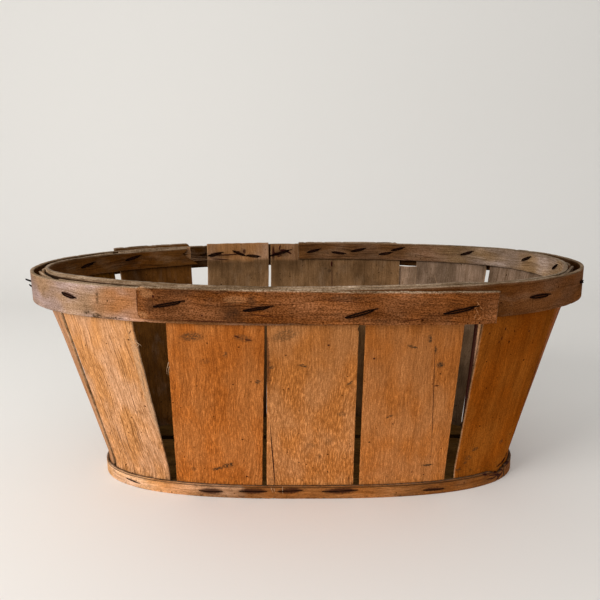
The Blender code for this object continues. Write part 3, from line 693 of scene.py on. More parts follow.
def foot_under(rim_along):
    """The place along the foot that a place along the rim stands over."""
    edges = sorted((rim[0], foot[0]) for rim, foot, _ in PLACES.values())
    edges = [(edges[-1][0] - RIM.total, edges[-1][1] - FOOT.total)] + edges
    edges += [(edges[1][0] + RIM.total, edges[1][1] + FOOT.total)]
    rim_edges, foot_edges = zip(*edges)
    turned = np.mod(rim_along - rim_edges[0], RIM.total) + rim_edges[0]
    return np.interp(turned, rim_edges, foot_edges)


def inner_hoop_inset(along, height, inwards=0.0):
    """How far in the inner hoop lies on the rim's normal, over the staves, the splint and the end layers."""
    height = np.asarray(height, float)
    normal_x, normal_y = RIM.normal(along)
    from_front = np.mod(along + RIM.total / 2, RIM.total) - RIM.total / 2
    beyond = np.maximum(np.maximum(SPLINT_RIM[0] - from_front, from_front - sum(SPLINT_RIM)), 0.0)
    over_splint = smooth_step(1 - (beyond - SPLINT_CLEAR) / SPLINT_EASE)
    rise = rise_between_bends(along, height)
    depth = LAYER + rise * bow(along) + LAYER * over_splint + inwards
    depth = depth + smooth_step(END_LAYER_REACH * normal_x ** 2) * second_layer(1.0, rise)
    point = wall_point(along, foot_under(along), height, depth)
    rim_x, rim_y = RIM.point(along, 0.0)
    return (rim_x - point[..., 0]) * normal_x + (rim_y - point[..., 1]) * normal_y


def soft_noise(x, y, seed):
    """Smooth noise from -1 to 1, one lump to each unit of x and y."""
    x, y = np.broadcast_arrays(np.asarray(x, float), np.asarray(y, float))
    column = np.floor(x)
    row = np.floor(y)
    across = smooth_step(x - column)
    up = smooth_step(y - row)

    def corner(i, j):
        value = np.sin((column + i) * 127.1 + (row + j) * 311.7 + seed * 74.7) * 43758.5453
        return 2 * (value - np.floor(value)) - 1

    low = corner(0, 0) * (1 - across) + corner(1, 0) * across
    high = corner(0, 1) * (1 - across) + corner(1, 1) * across
    return low * (1 - up) + high * up


def worn_edge(along, seed, wear, chips):
    """How far an edge is worn back at each place along it, with a few chips broken out."""
    random = np.random.default_rng(seed)
    depth = wear * (1 + soft_noise(along / EDGE_LUMP, 0.5, seed)) / 2
    depth += wear * 0.5 * (1 + soft_noise(along / SMALL_EDGE_LUMP, 0.5, seed + 1)) / 2
    low = float(np.min(along))
    high = float(np.max(along))
    for _ in range(chips):
        middle = random.uniform(low, high)
        half = random.uniform(*CHIP_HALF)
        deep = random.uniform(*CHIP_DEPTH)
        depth = np.maximum(depth, deep * np.clip(1 - np.abs(along - middle) / half, 0, 1) ** 0.6)
    return depth


def steps_with_edges(length, cell, rounding):
    """Shares from 0 to 1, a cell apart, with close steps at both ends for the rounded edge."""
    count = max(4, round(length / cell))
    inner = np.linspace(0, length, count + 1)
    inner = inner[(inner > 3 * rounding) & (inner < length - 3 * rounding)]
    start = np.array([0, 0.35, 1.0, 2.4]) * rounding
    return np.concatenate([start, inner, length - start[::-1]]) / length


def from_edges(rows, columns, steps, first=1.0, last=1.0):
    """A grid that has steps inwards from its edges, and 0 elsewhere. first and last weaken the row ends."""
    steps = np.array(steps)
    across = np.zeros(rows)
    across[:4] = steps * first
    across[-4:] = steps[::-1] * last
    along = np.zeros(columns)
    along[:4] = steps
    along[-4:] = steps[::-1]
    return np.maximum(across[:, None], along[None, :])


def rounding_depth(rows, columns, rounding):
    """How far the faces are drawn together next to the edges."""
    return from_edges(rows, columns, (rounding, 0.32 * rounding, 0.0, 0.0))


def edge_mask(rows, columns, first=1.0, last=1.0):
    """1 on the cut edges, fading to 0 on the faces."""
    return from_edges(rows, columns, (1.0, 0.9, 0.15, 0.0), first, last)


def close_sheet(name, outer, inner, grain, wear_outer, wear_inner, extra=None):
    """Closes two like grids of points into a thin solid, with its grain map and its wear."""
    rows, columns = outer.shape[:2]
    count = rows * columns
    index = np.arange(count).reshape(rows, columns)
    quads = np.stack([index[:-1, :-1], index[:-1, 1:], index[1:, 1:], index[1:, :-1]], -1).reshape(-1, 4)
    ring = np.concatenate([index[0, :-1], index[:-1, -1], index[-1, :0:-1], index[:0:-1, 0]])
    after = np.roll(ring, -1)
    sides = np.stack([after, ring, ring + count, after + count], -1)
    faces = np.concatenate([quads, quads[:, ::-1] + count, sides])
    mesh = bpy.data.meshes.new(name)
    vertices = np.concatenate([outer.reshape(-1, 3), inner.reshape(-1, 3)])
    mesh.from_pydata(vertices.tolist(), [], faces.tolist())
    corner_vertex = np.zeros(len(mesh.loops), dtype=np.int32)
    mesh.loops.foreach_get("vertex_index", corner_vertex)
    flat = np.concatenate([grain.reshape(-1, 2)] * 2)
    layer = mesh.uv_layers.new(name="grain")
    layer.data.foreach_set("uv", flat[corner_vertex].astype(np.float32).ravel())
    wear = np.concatenate([wear_outer.reshape(-1, 4), wear_inner.reshape(-1, 4)])
    colours = mesh.color_attributes.new("wear", "FLOAT_COLOR", "POINT")
    colours.data.foreach_set("color", wear.ravel())
    for key, values in (extra or {}).items():
        attribute = mesh.attributes.new(key, "FLOAT", "POINT")
        attribute.data.foreach_set("value", np.concatenate([values.ravel()] * 2).astype(np.float32))
    mesh.polygons.foreach_set("use_smooth", [True] * len(mesh.polygons))
    return mesh


def linked(thing):
    bpy.context.scene.collection.objects.link(thing)
    return thing


def new_object(name, mesh, material):
    old = bpy.data.objects.get(name)
    if old:
        bpy.data.objects.remove(old, do_unlink=True)
    mesh.materials.clear()
    mesh.materials.append(material)
    return linked(bpy.data.objects.new(name, mesh))


def finish_piece(piece, slot, *nodes):
    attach(piece, "root")
    if nodes:
        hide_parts(*nodes)


def wear_map(edge, dirt, inside, bleached=0.0):
    """Shares of cut edge, dirt, dark inner surface and bleached surface at each point.
    The dirt share also carries the foot band's painted contact shadow, and the dark inner share the painted
    shade on faces that lie between two pieces.
    """
    return np.stack(np.broadcast_arrays(edge, dirt, inside, bleached), -1).astype(np.float32)


def bared_share(rim_along, height):
    """1 above the waved line where the broken inner hoop laid the back staves bare."""
    waved = BARED_FROM + BARED_WAVE * soft_noise(rim_along / BARED_LUMP, 0.5, 7)
    beside = (rim_along > INNER_HOOP_END_AT) & (rim_along < INNER_HOOP_BREAK_AT + BARED_BEYOND_BREAK)
    return smooth_step((height - waved) / BARED_FADE) * beside


def veneer_stave(node, rim, foot, depth_of, material, slot, seed, bottom=0.0, top=0.0, shift=0.0,
                 light_edges=EDGE_LIGHT, trim=0.0):
    """A stave with worn edges, lofted from its place at the foot to its place at the rim.

    rim and foot are its near edge and its width. light_edges are the strengths of bare wood at its two
    edges, and trim narrows it at the second. shift moves its grain.
    """
    shape = bpy.context.scene.basket_shape
    share = steps_with_edges((rim[1] + foot[1]) / 2, shape.cell, shape.edge_rounding)
    rising = steps_with_edges(RIM_HEIGHT - bottom, shape.cell, shape.edge_rounding)
    heights = bottom + (RIM_HEIGHT + top - bottom) * rising
    width = foot[1] + (rim[1] - foot[1]) * rise_between_bends(rim[0] + rim[1] / 2, heights)
    left = worn_edge(heights, seed, shape.edge_wear, 2) / width
    right = (worn_edge(heights, seed + 50, shape.edge_wear, 2) + trim) / width
    across = left[None, :] + (1 - left - right)[None, :] * share[:, None]
    ragged = (soft_noise(across * width.mean() / RAGGED_LUMP, 0.5, seed + 9) - 1) * RAGGED_TOP
    height = heights[None, :] + ragged * (rising[None, :] > 0.97)
    rim_along = rim[0] + rim[1] * across
    foot_along = foot[0] + foot[1] * across
    rise = rise_between_bends(rim_along, height)
    depth = depth_of(rim_along, 1 - (2 * across - 1) ** 2, rise)
    grain = np.stack([(across - 0.5) * width[None, :] + shift, height + shift], -1)
    sway = soft_noise(grain[..., 0] / WARP_LUMP_ACROSS, grain[..., 1] / WARP_LUMP_ALONG, seed + 3)
    depth = depth + shape.warp * sway * np.sin(math.pi * rising)[None, :]
    drawn = rounding_depth(len(share), len(rising), shape.edge_rounding)
    outer = wall_point(rim_along, foot_along, height, depth + drawn)
    inner = wall_point(rim_along, foot_along, height, depth + STAVE_THICKNESS - drawn)
    topmost = smooth_step((height - (RIM_HEIGHT + top - BLEACHED_TOP)) / BLEACHED_FADE)
    topmost = topmost * (top > -OUTER_HOOP_HEIGHT)
    edge = edge_mask(len(share), len(rising), *light_edges) * (1 - topmost)
    # The outside of a stave behind the outer hoop takes the dark inner colour, as painted shade between stave
    # and hoop.
    hoop_shade = smooth_step((height - (RIM_HEIGHT - OUTER_HOOP_HEIGHT)) / HOOP_SHADE_FADE)
    dirt = smooth_step(1 - (height - BAND_HEIGHT) / DIRTY_FOOT)
    bared = bared_share(rim_along, height)
    mesh = close_sheet(node + "_wood", outer, inner, grain, wear_map(edge, dirt * 0.6, hoop_shade * 0.8, topmost),
                       wear_map(edge, dirt * 0.7, 1 - bared, topmost * (1 - bared)))
    finish_piece(new_object(node + "_wood", mesh, material), slot, node)


class Nodes:
    """Shorthand for adding the nodes of one tree."""

    def __init__(self, tree):
        self.tree = tree

    def add(self, kind, sources=None, **settings):
        """Adds a node, sets its properties and links or sets its inputs by index or name."""
        node = self.tree.nodes.new(kind)
        for key, value in settings.items():
            setattr(node, key, value)
        for key, source in (sources or {}).items():
            if isinstance(source, bpy.types.NodeSocket):
                self.tree.links.new(source, node.inputs[key])
            else:
                node.inputs[key].default_value = source
        return node

    def math(self, operation, first, second=0.0):
        return self.add("ShaderNodeMath", {0: first, 1: second}, operation=operation).outputs[0]

    def vector(self, operation, first, second):
        sources = {0: first, "Scale" if operation == "SCALE" else 1: second}
        return self.add("ShaderNodeVectorMath", sources, operation=operation).outputs[0]


class Grower(Nodes):
    """A Geometry Nodes tree with named inputs, which ends in Realize Instances and Set Material."""

    def __init__(self, name, inputs):
        super().__init__(bpy.data.node_groups.new(name, "GeometryNodeTree"))
        sockets = self.tree.interface
        sockets.new_socket("Geometry", in_out="INPUT", socket_type="NodeSocketGeometry")
        for label, kind, default in (*inputs, ("Material", "Material", None)):
            socket = sockets.new_socket(label, in_out="INPUT", socket_type="NodeSocket" + kind)
            if default is not None:
                socket.default_value = default
        sockets.new_socket("Geometry", in_out="OUTPUT", socket_type="NodeSocketGeometry")
        self.inputs = self.add("NodeGroupInput").outputs

    def end(self, geometry):
        real = self.add("GeometryNodeRealizeInstances", {0: geometry}).outputs[0]
        dressed = self.add("GeometryNodeSetMaterial", {"Geometry": real, "Material": self.inputs["Material"]})
        self.add("NodeGroupOutput", {0: dressed.outputs[0]})
        return self.tree


def bend_tree():
    """Bends a flat strip round an oval path: X runs along, Y up and Z inwards."""
    name = "Bend Strip Round Oval"
    if name in bpy.data.node_groups:
        return bpy.data.node_groups[name]
    nodes = Grower(name, [("Path", "Object", None)])
    position = nodes.add("GeometryNodeInputPosition").outputs[0]
    flat = nodes.add("ShaderNodeSeparateXYZ", {0: position}).outputs
    inset = nodes.add("GeometryNodeInputNamedAttribute", {"Name": "inset"}).outputs[0]
    lift = nodes.add("GeometryNodeInputNamedAttribute", {"Name": "lift"}).outputs[0]
    path = nodes.add("GeometryNodeObjectInfo", {"Object": nodes.inputs["Path"]}).outputs["Geometry"]
    place = nodes.add("GeometryNodeSampleCurve", {"Curves": path, "Length": flat[0]}, mode="LENGTH").outputs
    outwards = nodes.vector("CROSS_PRODUCT", place["Tangent"], (0.0, 0.0, 1.0))
    inwards = nodes.math("MULTIPLY", nodes.math("ADD", inset, flat[2]), -1.0)
    bent = nodes.vector("ADD", place["Position"], nodes.vector("SCALE", outwards, inwards))
    upwards = nodes.add("ShaderNodeCombineXYZ", {"Z": nodes.math("ADD", lift, flat[1])}).outputs[0]
    moved = nodes.vector("ADD", bent, upwards)
    return nodes.end(nodes.add("GeometryNodeSetPosition", {
        "Geometry": nodes.inputs["Geometry"], "Position": moved}).outputs[0])


def wire_tree():
    """Turns lines of edges into wires or fibres with bent corners and uneven runs."""
    name = "Wire Along Lines"
    if name in bpy.data.node_groups:
        return bpy.data.node_groups[name]
    nodes = Grower(name, [
        ("Diameter", "Float", 0.0011), ("Bend Radius", "Float", 0.0010), ("Taper", "Float", 0.0),
        ("Unevenness", "Float", 0.0001), ("Sides", "Int", 8), ("Seed", "Float", 1.0)])
    lines = nodes.add("GeometryNodeMeshToCurve", {"Mesh": nodes.inputs["Geometry"]}).outputs[0]
    bent = nodes.add("GeometryNodeFilletCurve", {
        "Curve": lines, "Radius": nodes.inputs["Bend Radius"], "Limit Radius": True, "Count": 3}, mode="POLY")
    even = nodes.add("GeometryNodeResampleCurve", {"Curve": bent.outputs[0], "Length": 0.0009}, mode="LENGTH")
    lumps = nodes.add("ShaderNodeTexNoise", {
        "Scale": 160.0, "W": nodes.inputs["Seed"]}, noise_dimensions="4D")
    centred = nodes.vector("SUBTRACT", lumps.outputs["Color"], (0.5, 0.5, 0.5))
    sway = nodes.vector("SCALE", centred, nodes.inputs["Unevenness"])
    swayed = nodes.add("GeometryNodeSetPosition", {"Geometry": even.outputs[0], "Offset": sway}).outputs[0]
    run = nodes.add("GeometryNodeSplineParameter").outputs["Factor"]
    kept = nodes.math("SUBTRACT", 1.0, nodes.math("MULTIPLY", run, nodes.inputs["Taper"]))
    radius = nodes.math("MULTIPLY", kept, nodes.math("MULTIPLY", nodes.inputs["Diameter"], 0.5))
    profile = nodes.add("GeometryNodeCurvePrimitiveCircle", {
        "Resolution": nodes.inputs["Sides"], "Radius": 1.0}, mode="RADIUS").outputs[0]
    solid = nodes.add("GeometryNodeCurveToMesh", {
        "Curve": swayed, "Profile Curve": profile, "Scale": radius, "Fill Caps": True}).outputs[0]
    return nodes.end(nodes.add("GeometryNodeSetShadeSmooth", {"Geometry": solid}).outputs[0])


def socket_id(tree, name):
    """The identifier of a tree's named input, which is how a modifier takes it."""
    for item in tree.interface.items_tree:
        if item.item_type == "SOCKET" and item.in_out == "INPUT" and item.name == name:
            return item.identifier
    raise RuntimeError(f"{tree.name} has no input {name}")


def grow(name, mesh, tree, material, settings):
    """Runs a tree on a mesh and keeps the plain mesh that it makes."""
    source = linked(bpy.data.objects.new(name + "_source", mesh))
    modifier = source.modifiers.new("Grow", "NODES")
    modifier.node_group = tree
    for label, value in {"Material": material, **settings}.items():
        modifier[socket_id(tree, label)] = value
    source.update_tag()
    depsgraph = bpy.context.evaluated_depsgraph_get()
    grown = bpy.data.meshes.new_from_object(source.evaluated_get(depsgraph))
    source.modifiers.remove(modifier)
    bpy.data.objects.remove(source, do_unlink=True)
    if not grown.polygons:
        raise RuntimeError(f"{name} came out empty")
    return new_object(name, grown, material)


def bent_strip(node, oval, along, across, inset, lift, thickness, look, slot, wear_outer, wear_inner):
    """A strip bent round an oval. along, across, inset and lift are like grids of numbers."""
    name = node + "_wood"
    drawn = rounding_depth(*along.shape, bpy.context.scene.basket_shape.edge_rounding)
    wrapped = np.mod(along, oval.total)
    outer = np.stack([wrapped, across, drawn], -1)
    inner = np.stack([wrapped, across, thickness - drawn], -1)
    grain = np.stack([across, along], -1)
    extra = {"inset": np.broadcast_to(inset, along.shape), "lift": np.broadcast_to(lift, along.shape)}
    mesh = close_sheet(name, outer, inner, grain, wear_outer, wear_inner, extra)
    piece = grow(name, mesh, bend_tree(), look, {"Path": oval.path()})
    for key in extra:
        piece.data.attributes.remove(piece.data.attributes[key])
    finish_piece(piece, slot, node)


def strip_wear(shape, up, dirt, top_from, top_span, first=1.0):
    """The wear of a strip's outside and inside. Its edge bleaches above a share of its height."""
    edge = edge_mask(*shape, first=first)
    top = smooth_step((up - top_from) / top_span)[:, None] * np.ones(shape)
    return wear_map(edge, dirt, 0.0, top), wear_map(edge, 0.3, 1.0, top)


def closed_strip(oval, joint_at, height, cell_up, low_wear, high_wear, seed):
    """Distances along and up for a strip that runs once round an oval from its joint.

    low_wear and high_wear are the wear and the number of chips of its lower and upper edges.
    """
    shape = bpy.context.scene.basket_shape
    start = joint_at + HOOP_JOINT / 2
    end = joint_at - HOOP_JOINT / 2 + oval.total
    run = start + (end - start) * steps_with_edges(end - start, shape.cell, shape.edge_rounding)
    up = steps_with_edges(height, cell_up, shape.edge_rounding)
    low = worn_edge(run, seed, shape.edge_wear * low_wear[0], low_wear[1])
    high = height - worn_edge(run, seed + 1, shape.edge_wear * high_wear[0], high_wear[1])
    return run, up, low, high, start, end


def spread(run, up, low, high):
    """The grids of distances along and up between the two edges of a closed strip."""
    across = low[None, :] + (high - low)[None, :] * up[:, None]
    return np.broadcast_to(run[None, :], across.shape).copy(), across


def strip_grid(start, end, height, seed, end_slant=0.0):
    """Distances along and up for a strip with rounded corners at its start and a slanted end."""
    shape = bpy.context.scene.basket_shape
    share = steps_with_edges(end - start, shape.cell, shape.edge_rounding)
    up = steps_with_edges(height, shape.cell / 1.6, shape.edge_rounding)
    near = np.maximum(np.maximum(STRIP_CORNER - up * height, up * height - (height - STRIP_CORNER)), 0.0)
    back = STRIP_CORNER - np.sqrt(np.maximum(STRIP_CORNER ** 2 - near ** 2, 0.0))
    back = back + worn_edge(up * height, seed, shape.edge_wear, 1)
    last = end_slant * (up - 1) - worn_edge(up * height, seed + 1, shape.edge_wear, 1)
    along = (start + back)[:, None] + (end + last - start - back)[:, None] * share[None, :]
    low = worn_edge(along, seed + 2, shape.edge_wear, 8)
    high = height - worn_edge(along, seed + 3, shape.edge_wear * 1.5, 14)
    across = low + (high - low) * up[:, None]
    return along, across, up


def scaled(colour, factor):
    return tuple(min(value * factor, 1.0) for value in colour)


def tone(key, factor=1.0):
    """A colour of the panel, by its name or by (name, strength)."""
    if isinstance(key, tuple):
        key, factor = key
    return scaled(getattr(bpy.context.scene.basket_colours, key), factor)


class Finish(Nodes):
    """Shorthand for the nodes of one material."""

    def __init__(self, name):
        self.material = bpy.data.materials.get(name) or bpy.data.materials.new(name)
        self.material.use_nodes = True
        super().__init__(self.material.node_tree)
        self.tree.nodes.clear()

    def noise(self, vector, scale, detail, roughness=0.5, output="Fac"):
        return self.add("ShaderNodeTexNoise", {
            "Vector": vector, "Scale": scale, "Detail": detail, "Roughness": roughness}).outputs[output]

    def stretch(self, vector, scale, place=(0.0, 0.0, 0.0), turn=0.0, kind="POINT"):
        return self.add("ShaderNodeMapping", {
            "Vector": vector, "Location": place, "Scale": scale, "Rotation": (0.0, 0.0, turn)},
            vector_type=kind).outputs[0]

    def between(self, value, low, high, to_low=0.0, to_high=1.0, kind="SMOOTHSTEP"):
        return self.add("ShaderNodeMapRange", {
            "Value": value, "From Min": low, "From Max": high, "To Min": to_low, "To Max": to_high},
            interpolation_type=kind).outputs[0]

    def mix(self, share, first, second, blend="MIX"):
        first, second = (source if isinstance(source, bpy.types.NodeSocket) else (*source, 1.0)
                         for source in (first, second))
        return self.add("ShaderNodeMix", {0: share, 6: first, 7: second}, data_type="RGBA",
                        blend_type=blend).outputs[2]

    def sum_of(self, *parts):
        """The sum of (value, strength) parts."""
        total = None
        for value, strength in parts:
            value = value if strength == 1.0 else self.math("MULTIPLY", value, strength)
            total = value if total is None else self.math("ADD", total, value)
        return total

    def left_under(self, mark, strength):
        """The light that is left where a mark darkens the wood."""
        return self.math("SUBTRACT", 1.0, self.math("MULTIPLY", mark, strength))

    def tone_across(self, place, stops):
        """A colour that changes from left to right, through stops of (place, colour, strength)."""
        node = self.add("ShaderNodeValToRGB", {
            0: self.between(place, -RAMP_REACH, RAMP_REACH, kind="LINEAR")})
        elements = node.color_ramp.elements
        while len(elements) < len(stops):
            elements.new(1.0)
        for element, (x, _, _) in zip(elements, stops):
            element.position = (x + RAMP_REACH) / (2 * RAMP_REACH)
        for element, (_, key, strength) in zip(elements, stops):
            element.color = (*tone(key, strength), 1.0)
        return node.outputs[0]

    def surface(self, inputs, relief=None, strength=0.0, depth=0.0):
        """Ends the material with its shader, whose inputs are given by name, and its relief."""
        if relief is not None:
            bump = self.add("ShaderNodeBump", {"Height": relief, "Strength": strength, "Distance": depth})
            inputs = {**inputs, "Normal": bump.outputs[0]}
        shader = self.add("ShaderNodeBsdfPrincipled", inputs)
        self.add("ShaderNodeOutputMaterial", {0: shader.outputs[0]})
        return self.material


class Wood(Finish):
    """Worn, unvarnished veneer whose grain follows the piece's own map.

    rust is the rust round its staples. run gives the place of a mark its distance in the map.
    """

    def __init__(self, name, rust=(), run=float):
        super().__init__(name)
        self.kind = kind = SimpleNamespace(**{**PLAIN_WOOD, **WOODS[name]})
        # The wood's own list of rust marks comes first; on the rippled front stave it holds painted shade,
        # not rust.
        self.rust = [*kind.rust, *rust]
        self.run = run
        self.place = (kind.seed * 0.731, kind.seed * 0.417, 0.0)
        self.flat = self.add("ShaderNodeUVMap", uv_map="grain").outputs[0]
        solid = self.add("ShaderNodeTexCoord").outputs["Object"]
        self.x, _, self.z = self.add("ShaderNodeSeparateXYZ", {0: solid}).outputs
        wear = self.add("ShaderNodeVertexColor", layer_name="wear").outputs
        self.edge, self.dirt, self.inside = self.add("ShaderNodeSeparateColor", {0: wear[0]}).outputs
        self.top = wear[1]
        # Slow waves in the grain, then everything that is stretched along it.
        waves = self.centred(self.stretch(self.flat, (1.0, 0.45, 1.0), self.place), 30.0, 2.0)
        waved = self.vector("ADD", self.flat, self.vector("MULTIPLY", waves, (0.013, 0.0, 0.0)))
        self.grain = self.stretch(waved, (1.0, 1.0, 1.0), self.place, kind.slant)
        self.band = self.along_grain(0.08, 110.0, 3.0, 0.55)
        self.fibre = self.along_grain(0.045, 760.0, 3.0, 0.65)
        self.fine = self.along_grain(0.10, 2100.0, 1.0, 0.5)
        self.ripple = self.along_grain(0.17, 980.0, 1.5, 0.5, turn=0.12)
        self.pore = self.between(self.along_grain(0.11, 1400.0, 1.0, 0.4), 0.655, 0.74, 0.0, kind.pores)
        self.speckle = self.over_face(0.62, 1150.0, 2.0, 0.7)
        self.patch = self.over_face(0.6, 34.0, 4.0, 0.6)
        self.cloud = self.over_face(0.5, 40.0, 2.0, 0.5)
        self.grime = self.over_face(0.7, 260.0, 4.0, 0.7)
        self.hollow = None

    def centred(self, vector, scale, detail):
        """Noise round 0, to move a map with."""
        return self.vector("SUBTRACT", self.noise(vector, scale, detail, output="Color"), (0.5, 0.5, 0.5))

    def along_grain(self, share, scale, detail, roughness, turn=0.0):
        return self.noise(self.stretch(self.grain, (1.0, share, 1.0), turn=turn), scale, detail, roughness)

    def over_face(self, share, scale, detail, roughness, across=1.0):
        return self.noise(self.stretch(self.flat, (across, share, 1.0), self.place), scale, detail, roughness)

    def shade(self):
        """All light and dark of the wood, painted shade and painted light among them, as one chain of
        factors. Dark wood is redder than light wood.
        """
        kind = self.kind
        shades = [
            self.between(self.band, 0.32, 0.68, 1 - 0.36 * kind.bands, 1 + 0.22 * kind.bands),
            self.between(self.fibre, 0.34, 0.70, 1 - 0.46 * kind.fibres, 1 + 0.26 * kind.fibres),
            self.between(self.fine, 0.30, 0.72, 1 - 0.24 * kind.fibres, 1.08),
            self.between(self.speckle, 0.32, 0.68, 1 - kind.speckles, 1 + kind.speckles),
            self.between(self.patch, 0.30, 0.70, 1 - kind.patches, 1 + 0.8 * kind.patches),
            self.left_under(self.pore, 0.7),
        ]
        if kind.ripples:
            low_down = self.between(self.z, 0.168, 0.110, 0.30, 1.0)
            uneven = self.between(self.cloud, 0.36, 0.60, 0.65, 1.0)
            stroke = self.between(self.ripple, 0.42, 0.66, -0.16 * kind.ripples, 0.36 * kind.ripples)
            stroke = self.math("MULTIPLY", stroke, self.math("MULTIPLY", low_down, uneven))
            shades.append(self.math("ADD", stroke, 1.0))
        # Painted shade that darkens the wood towards the rim, and painted light that lightens it low down.
        if kind.fade:
            shades.append(self.between(self.z, 0.030, 0.178, 1 + 0.35 * kind.fade, 1 - kind.fade))
        if kind.lines:
            crack = self.between(self.along_grain(0.024, 640.0, 1.0, 0.4), 0.60, 0.68)
            self.hollow = self.math("MULTIPLY", crack, self.between(self.cloud, 0.36, 0.54, 0.2, kind.lines))
            shades.append(self.left_under(self.hollow, 0.72))
        shades.append(self.between(self.over_face(1.0, 330.0, 0.0, 0.0), 0.80, 0.85, 1.0, 0.22))
        # The inside is painted lighter low down where inner_low is above 1, as painted light, and darker
        # where it is below 1, as painted shade.
        if kind.inner_low != 1.0:
            painted_low_inside = self.between(self.z, 0.092, 0.150, 1 - kind.inner_low, 0.0)
            shades.append(self.left_under(self.inside, painted_low_inside))
        shade = shades[0]
        for factor in shades[1:]:
            shade = self.math("MULTIPLY", shade, factor)
        return self.add("ShaderNodeCombineColor", {
            0: shade, 1: self.math("POWER", shade, 1.14), 2: self.math("POWER", shade, 1.40)}).outputs[0]

    def clean(self):
        """The wood without dirt and marks: its outside, its old inside, its bleached top and its edges."""
        kind = self.kind
        redder = self.mix(self.between(self.cloud, 0.36, 0.64), (1.04, 1.10, 1.30), (0.99, 0.90, 0.72))
        if isinstance(kind.tone[0], tuple):
            shifted = self.math("ADD", self.x, self.between(self.cloud, 0.3, 0.7, -0.014, 0.014))
            outside = self.tone_across(shifted, kind.tone)
        else:
            outside = tone(kind.tone)
        body = self.mix(1.0, redder, outside, "MULTIPLY")
        old = tone(kind.inner)
        inner = self.mix(self.between(self.patch, 0.35, 0.65), scaled(old, 0.78), scaled(old, 1.18))
        body = self.mix(self.inside, body, inner)
        if kind.grey:
            greyed = self.between(self.over_face(0.4, 75.0, 4.0, 0.6), 0.50, 0.68, 0.0, kind.grey)
            body = self.mix(greyed, body, tone("weathered"))
        bleached = self.math("MULTIPLY", self.top, self.between(self.fibre, 0.30, 0.60, 0.6, 1.0))
        body = self.mix(bleached, body, self.tone_across(self.x, TOP_EDGE_TONES))
        worn = self.math("MULTIPLY", self.edge, self.between(self.grime, 0.35, 0.62, 1.0, 0.55))
        return self.mix(worn, body, tone(kind.edge))

    def marks(self, grain, marks, core):
        """All the marks of one kind. core is the share of a mark that has its full strength."""
        total = None
        for across, along, half_across, half_along, turn, strength in marks:
            local = self.stretch(grain, (half_across, half_along, 1.0), (across, self.run(along), 0.0), turn,
                                 kind="TEXTURE")
            far = self.add("ShaderNodeVectorMath", {0: local}, operation="LENGTH").outputs["Value"]
            mark = self.between(far, 1.0, core, 0.0, strength)
            total = mark if total is None else self.math("MAXIMUM", total, mark)
        return total

    def marked(self, body):
        """Adds the dark line of painted shade along the foot band's rounded top edge, and all the marks."""
        kind = self.kind
        shaken = self.centred(self.flat, 560.0, 3.0)
        rough = self.vector("ADD", self.flat, self.vector("SCALE", shaken, 0.0022))
        crisp = self.vector("ADD", self.flat, self.vector("SCALE", shaken, 0.0007))
        # A thin dark line in the grime colour, painted shade where the band's top edge rounds over.
        if kind.groove:
            up = self.add("ShaderNodeSeparateXYZ", {0: crisp}).outputs[0]
            away = self.math("ABSOLUTE", self.math("SUBTRACT", up, kind.groove))
            self.hollow = self.between(away, 0.0008, 0.0003, 0.0, 0.75)
            body = self.mix(self.hollow, body, tone("grime"))
        broken = self.over_face(1.0, 820.0, 3.0, 0.7, across=0.7)
        for marks, grain, core, gaps, key in (
                (kind.pale, crisp, 0.45, (self.speckle, 0.40, 0.60, 0.35), kind.pale_tone),
                (kind.stains, rough, 0.15, (self.grime, 0.35, 0.62, 0.55), "stain"),
                (kind.smudges, rough, 0.40, (broken, 0.41, 0.53, 0.16), "smudge"),
                (self.rust, rough, 0.48, (self.fibre, 0.32, 0.60, 0.72), "rust")):
            if marks:
                mark = self.math("MULTIPLY", self.marks(grain, marks, core), self.between(*gaps))
                body = self.mix(mark, body, tone(key))
        if kind.dark:
            mark = self.marks(crisp, kind.dark, 0.45)
            body = self.mix(mark, body, tone("crack"))
            self.hollow = self.math("MAXIMUM", self.hollow, mark) if self.hollow else mark
        return body

    def finish(self):
        kind = self.kind
        body = self.mix(1.0, self.clean(), self.shade(), "MULTIPLY")
        dirty = self.math("MULTIPLY", self.between(self.grime, 0.50, 0.70), self.dirt)
        body = self.marked(self.mix(dirty, body, tone("grime")))
        dull = self.sum_of((self.between(self.band, 0.3, 0.7, 0.66, 0.56), 1.0), (self.inside, 0.12))
        relief = self.sum_of((self.fibre, 0.5), (self.fine, 0.25), (self.ripple, 0.6 * kind.ripples + 0.15))
        relief = self.math("SUBTRACT", relief, self.math("MULTIPLY", self.pore, 0.5))
        if self.hollow:
            relief = self.math("SUBTRACT", relief, self.hollow)
        return self.surface({"Base Color": body, "Roughness": dull, "Specular IOR Level": kind.gloss},
                            relief, 0.6, 0.0008)


def wire_finish():
    look = Finish("rusty_staple_wire")
    solid = look.add("ShaderNodeTexCoord").outputs["Object"]
    scale = look.noise(solid, 700.0, 4.0, 0.7)
    body = look.mix(look.between(scale, 0.50, 0.72), tone("wire"), tone("rust", 0.7))
    dull = look.between(scale, 0.3, 0.7, 0.50, 0.85)
    return look.surface({"Base Color": body, "Roughness": dull, "Specular IOR Level": 0.0},
                        scale, 0.5, 0.0003)


def fibre_finish(name, colour):
    look = Finish(name)
    solid = look.add("ShaderNodeTexCoord").outputs["Object"]
    streak = look.noise(look.stretch(solid, (1.0, 1.0, 3.0)), 300.0, 3.0, 0.6)
    body = look.mix(look.between(streak, 0.35, 0.65), scaled(colour, 0.55), colour)
    return look.surface({"Base Color": body, "Roughness": 0.75})


def staple_slope(staple):
    """The middle of a staple along and up, its turn and the half length of its rust."""
    along_from, height_from, along_to, height_to = staple
    turn = math.atan2(height_to - height_from, along_to - along_from)
    half = RUST_REACH * abs(along_to - along_from) / 2
    return (along_from + along_to) / 2, (height_from + height_to) / 2, turn, half


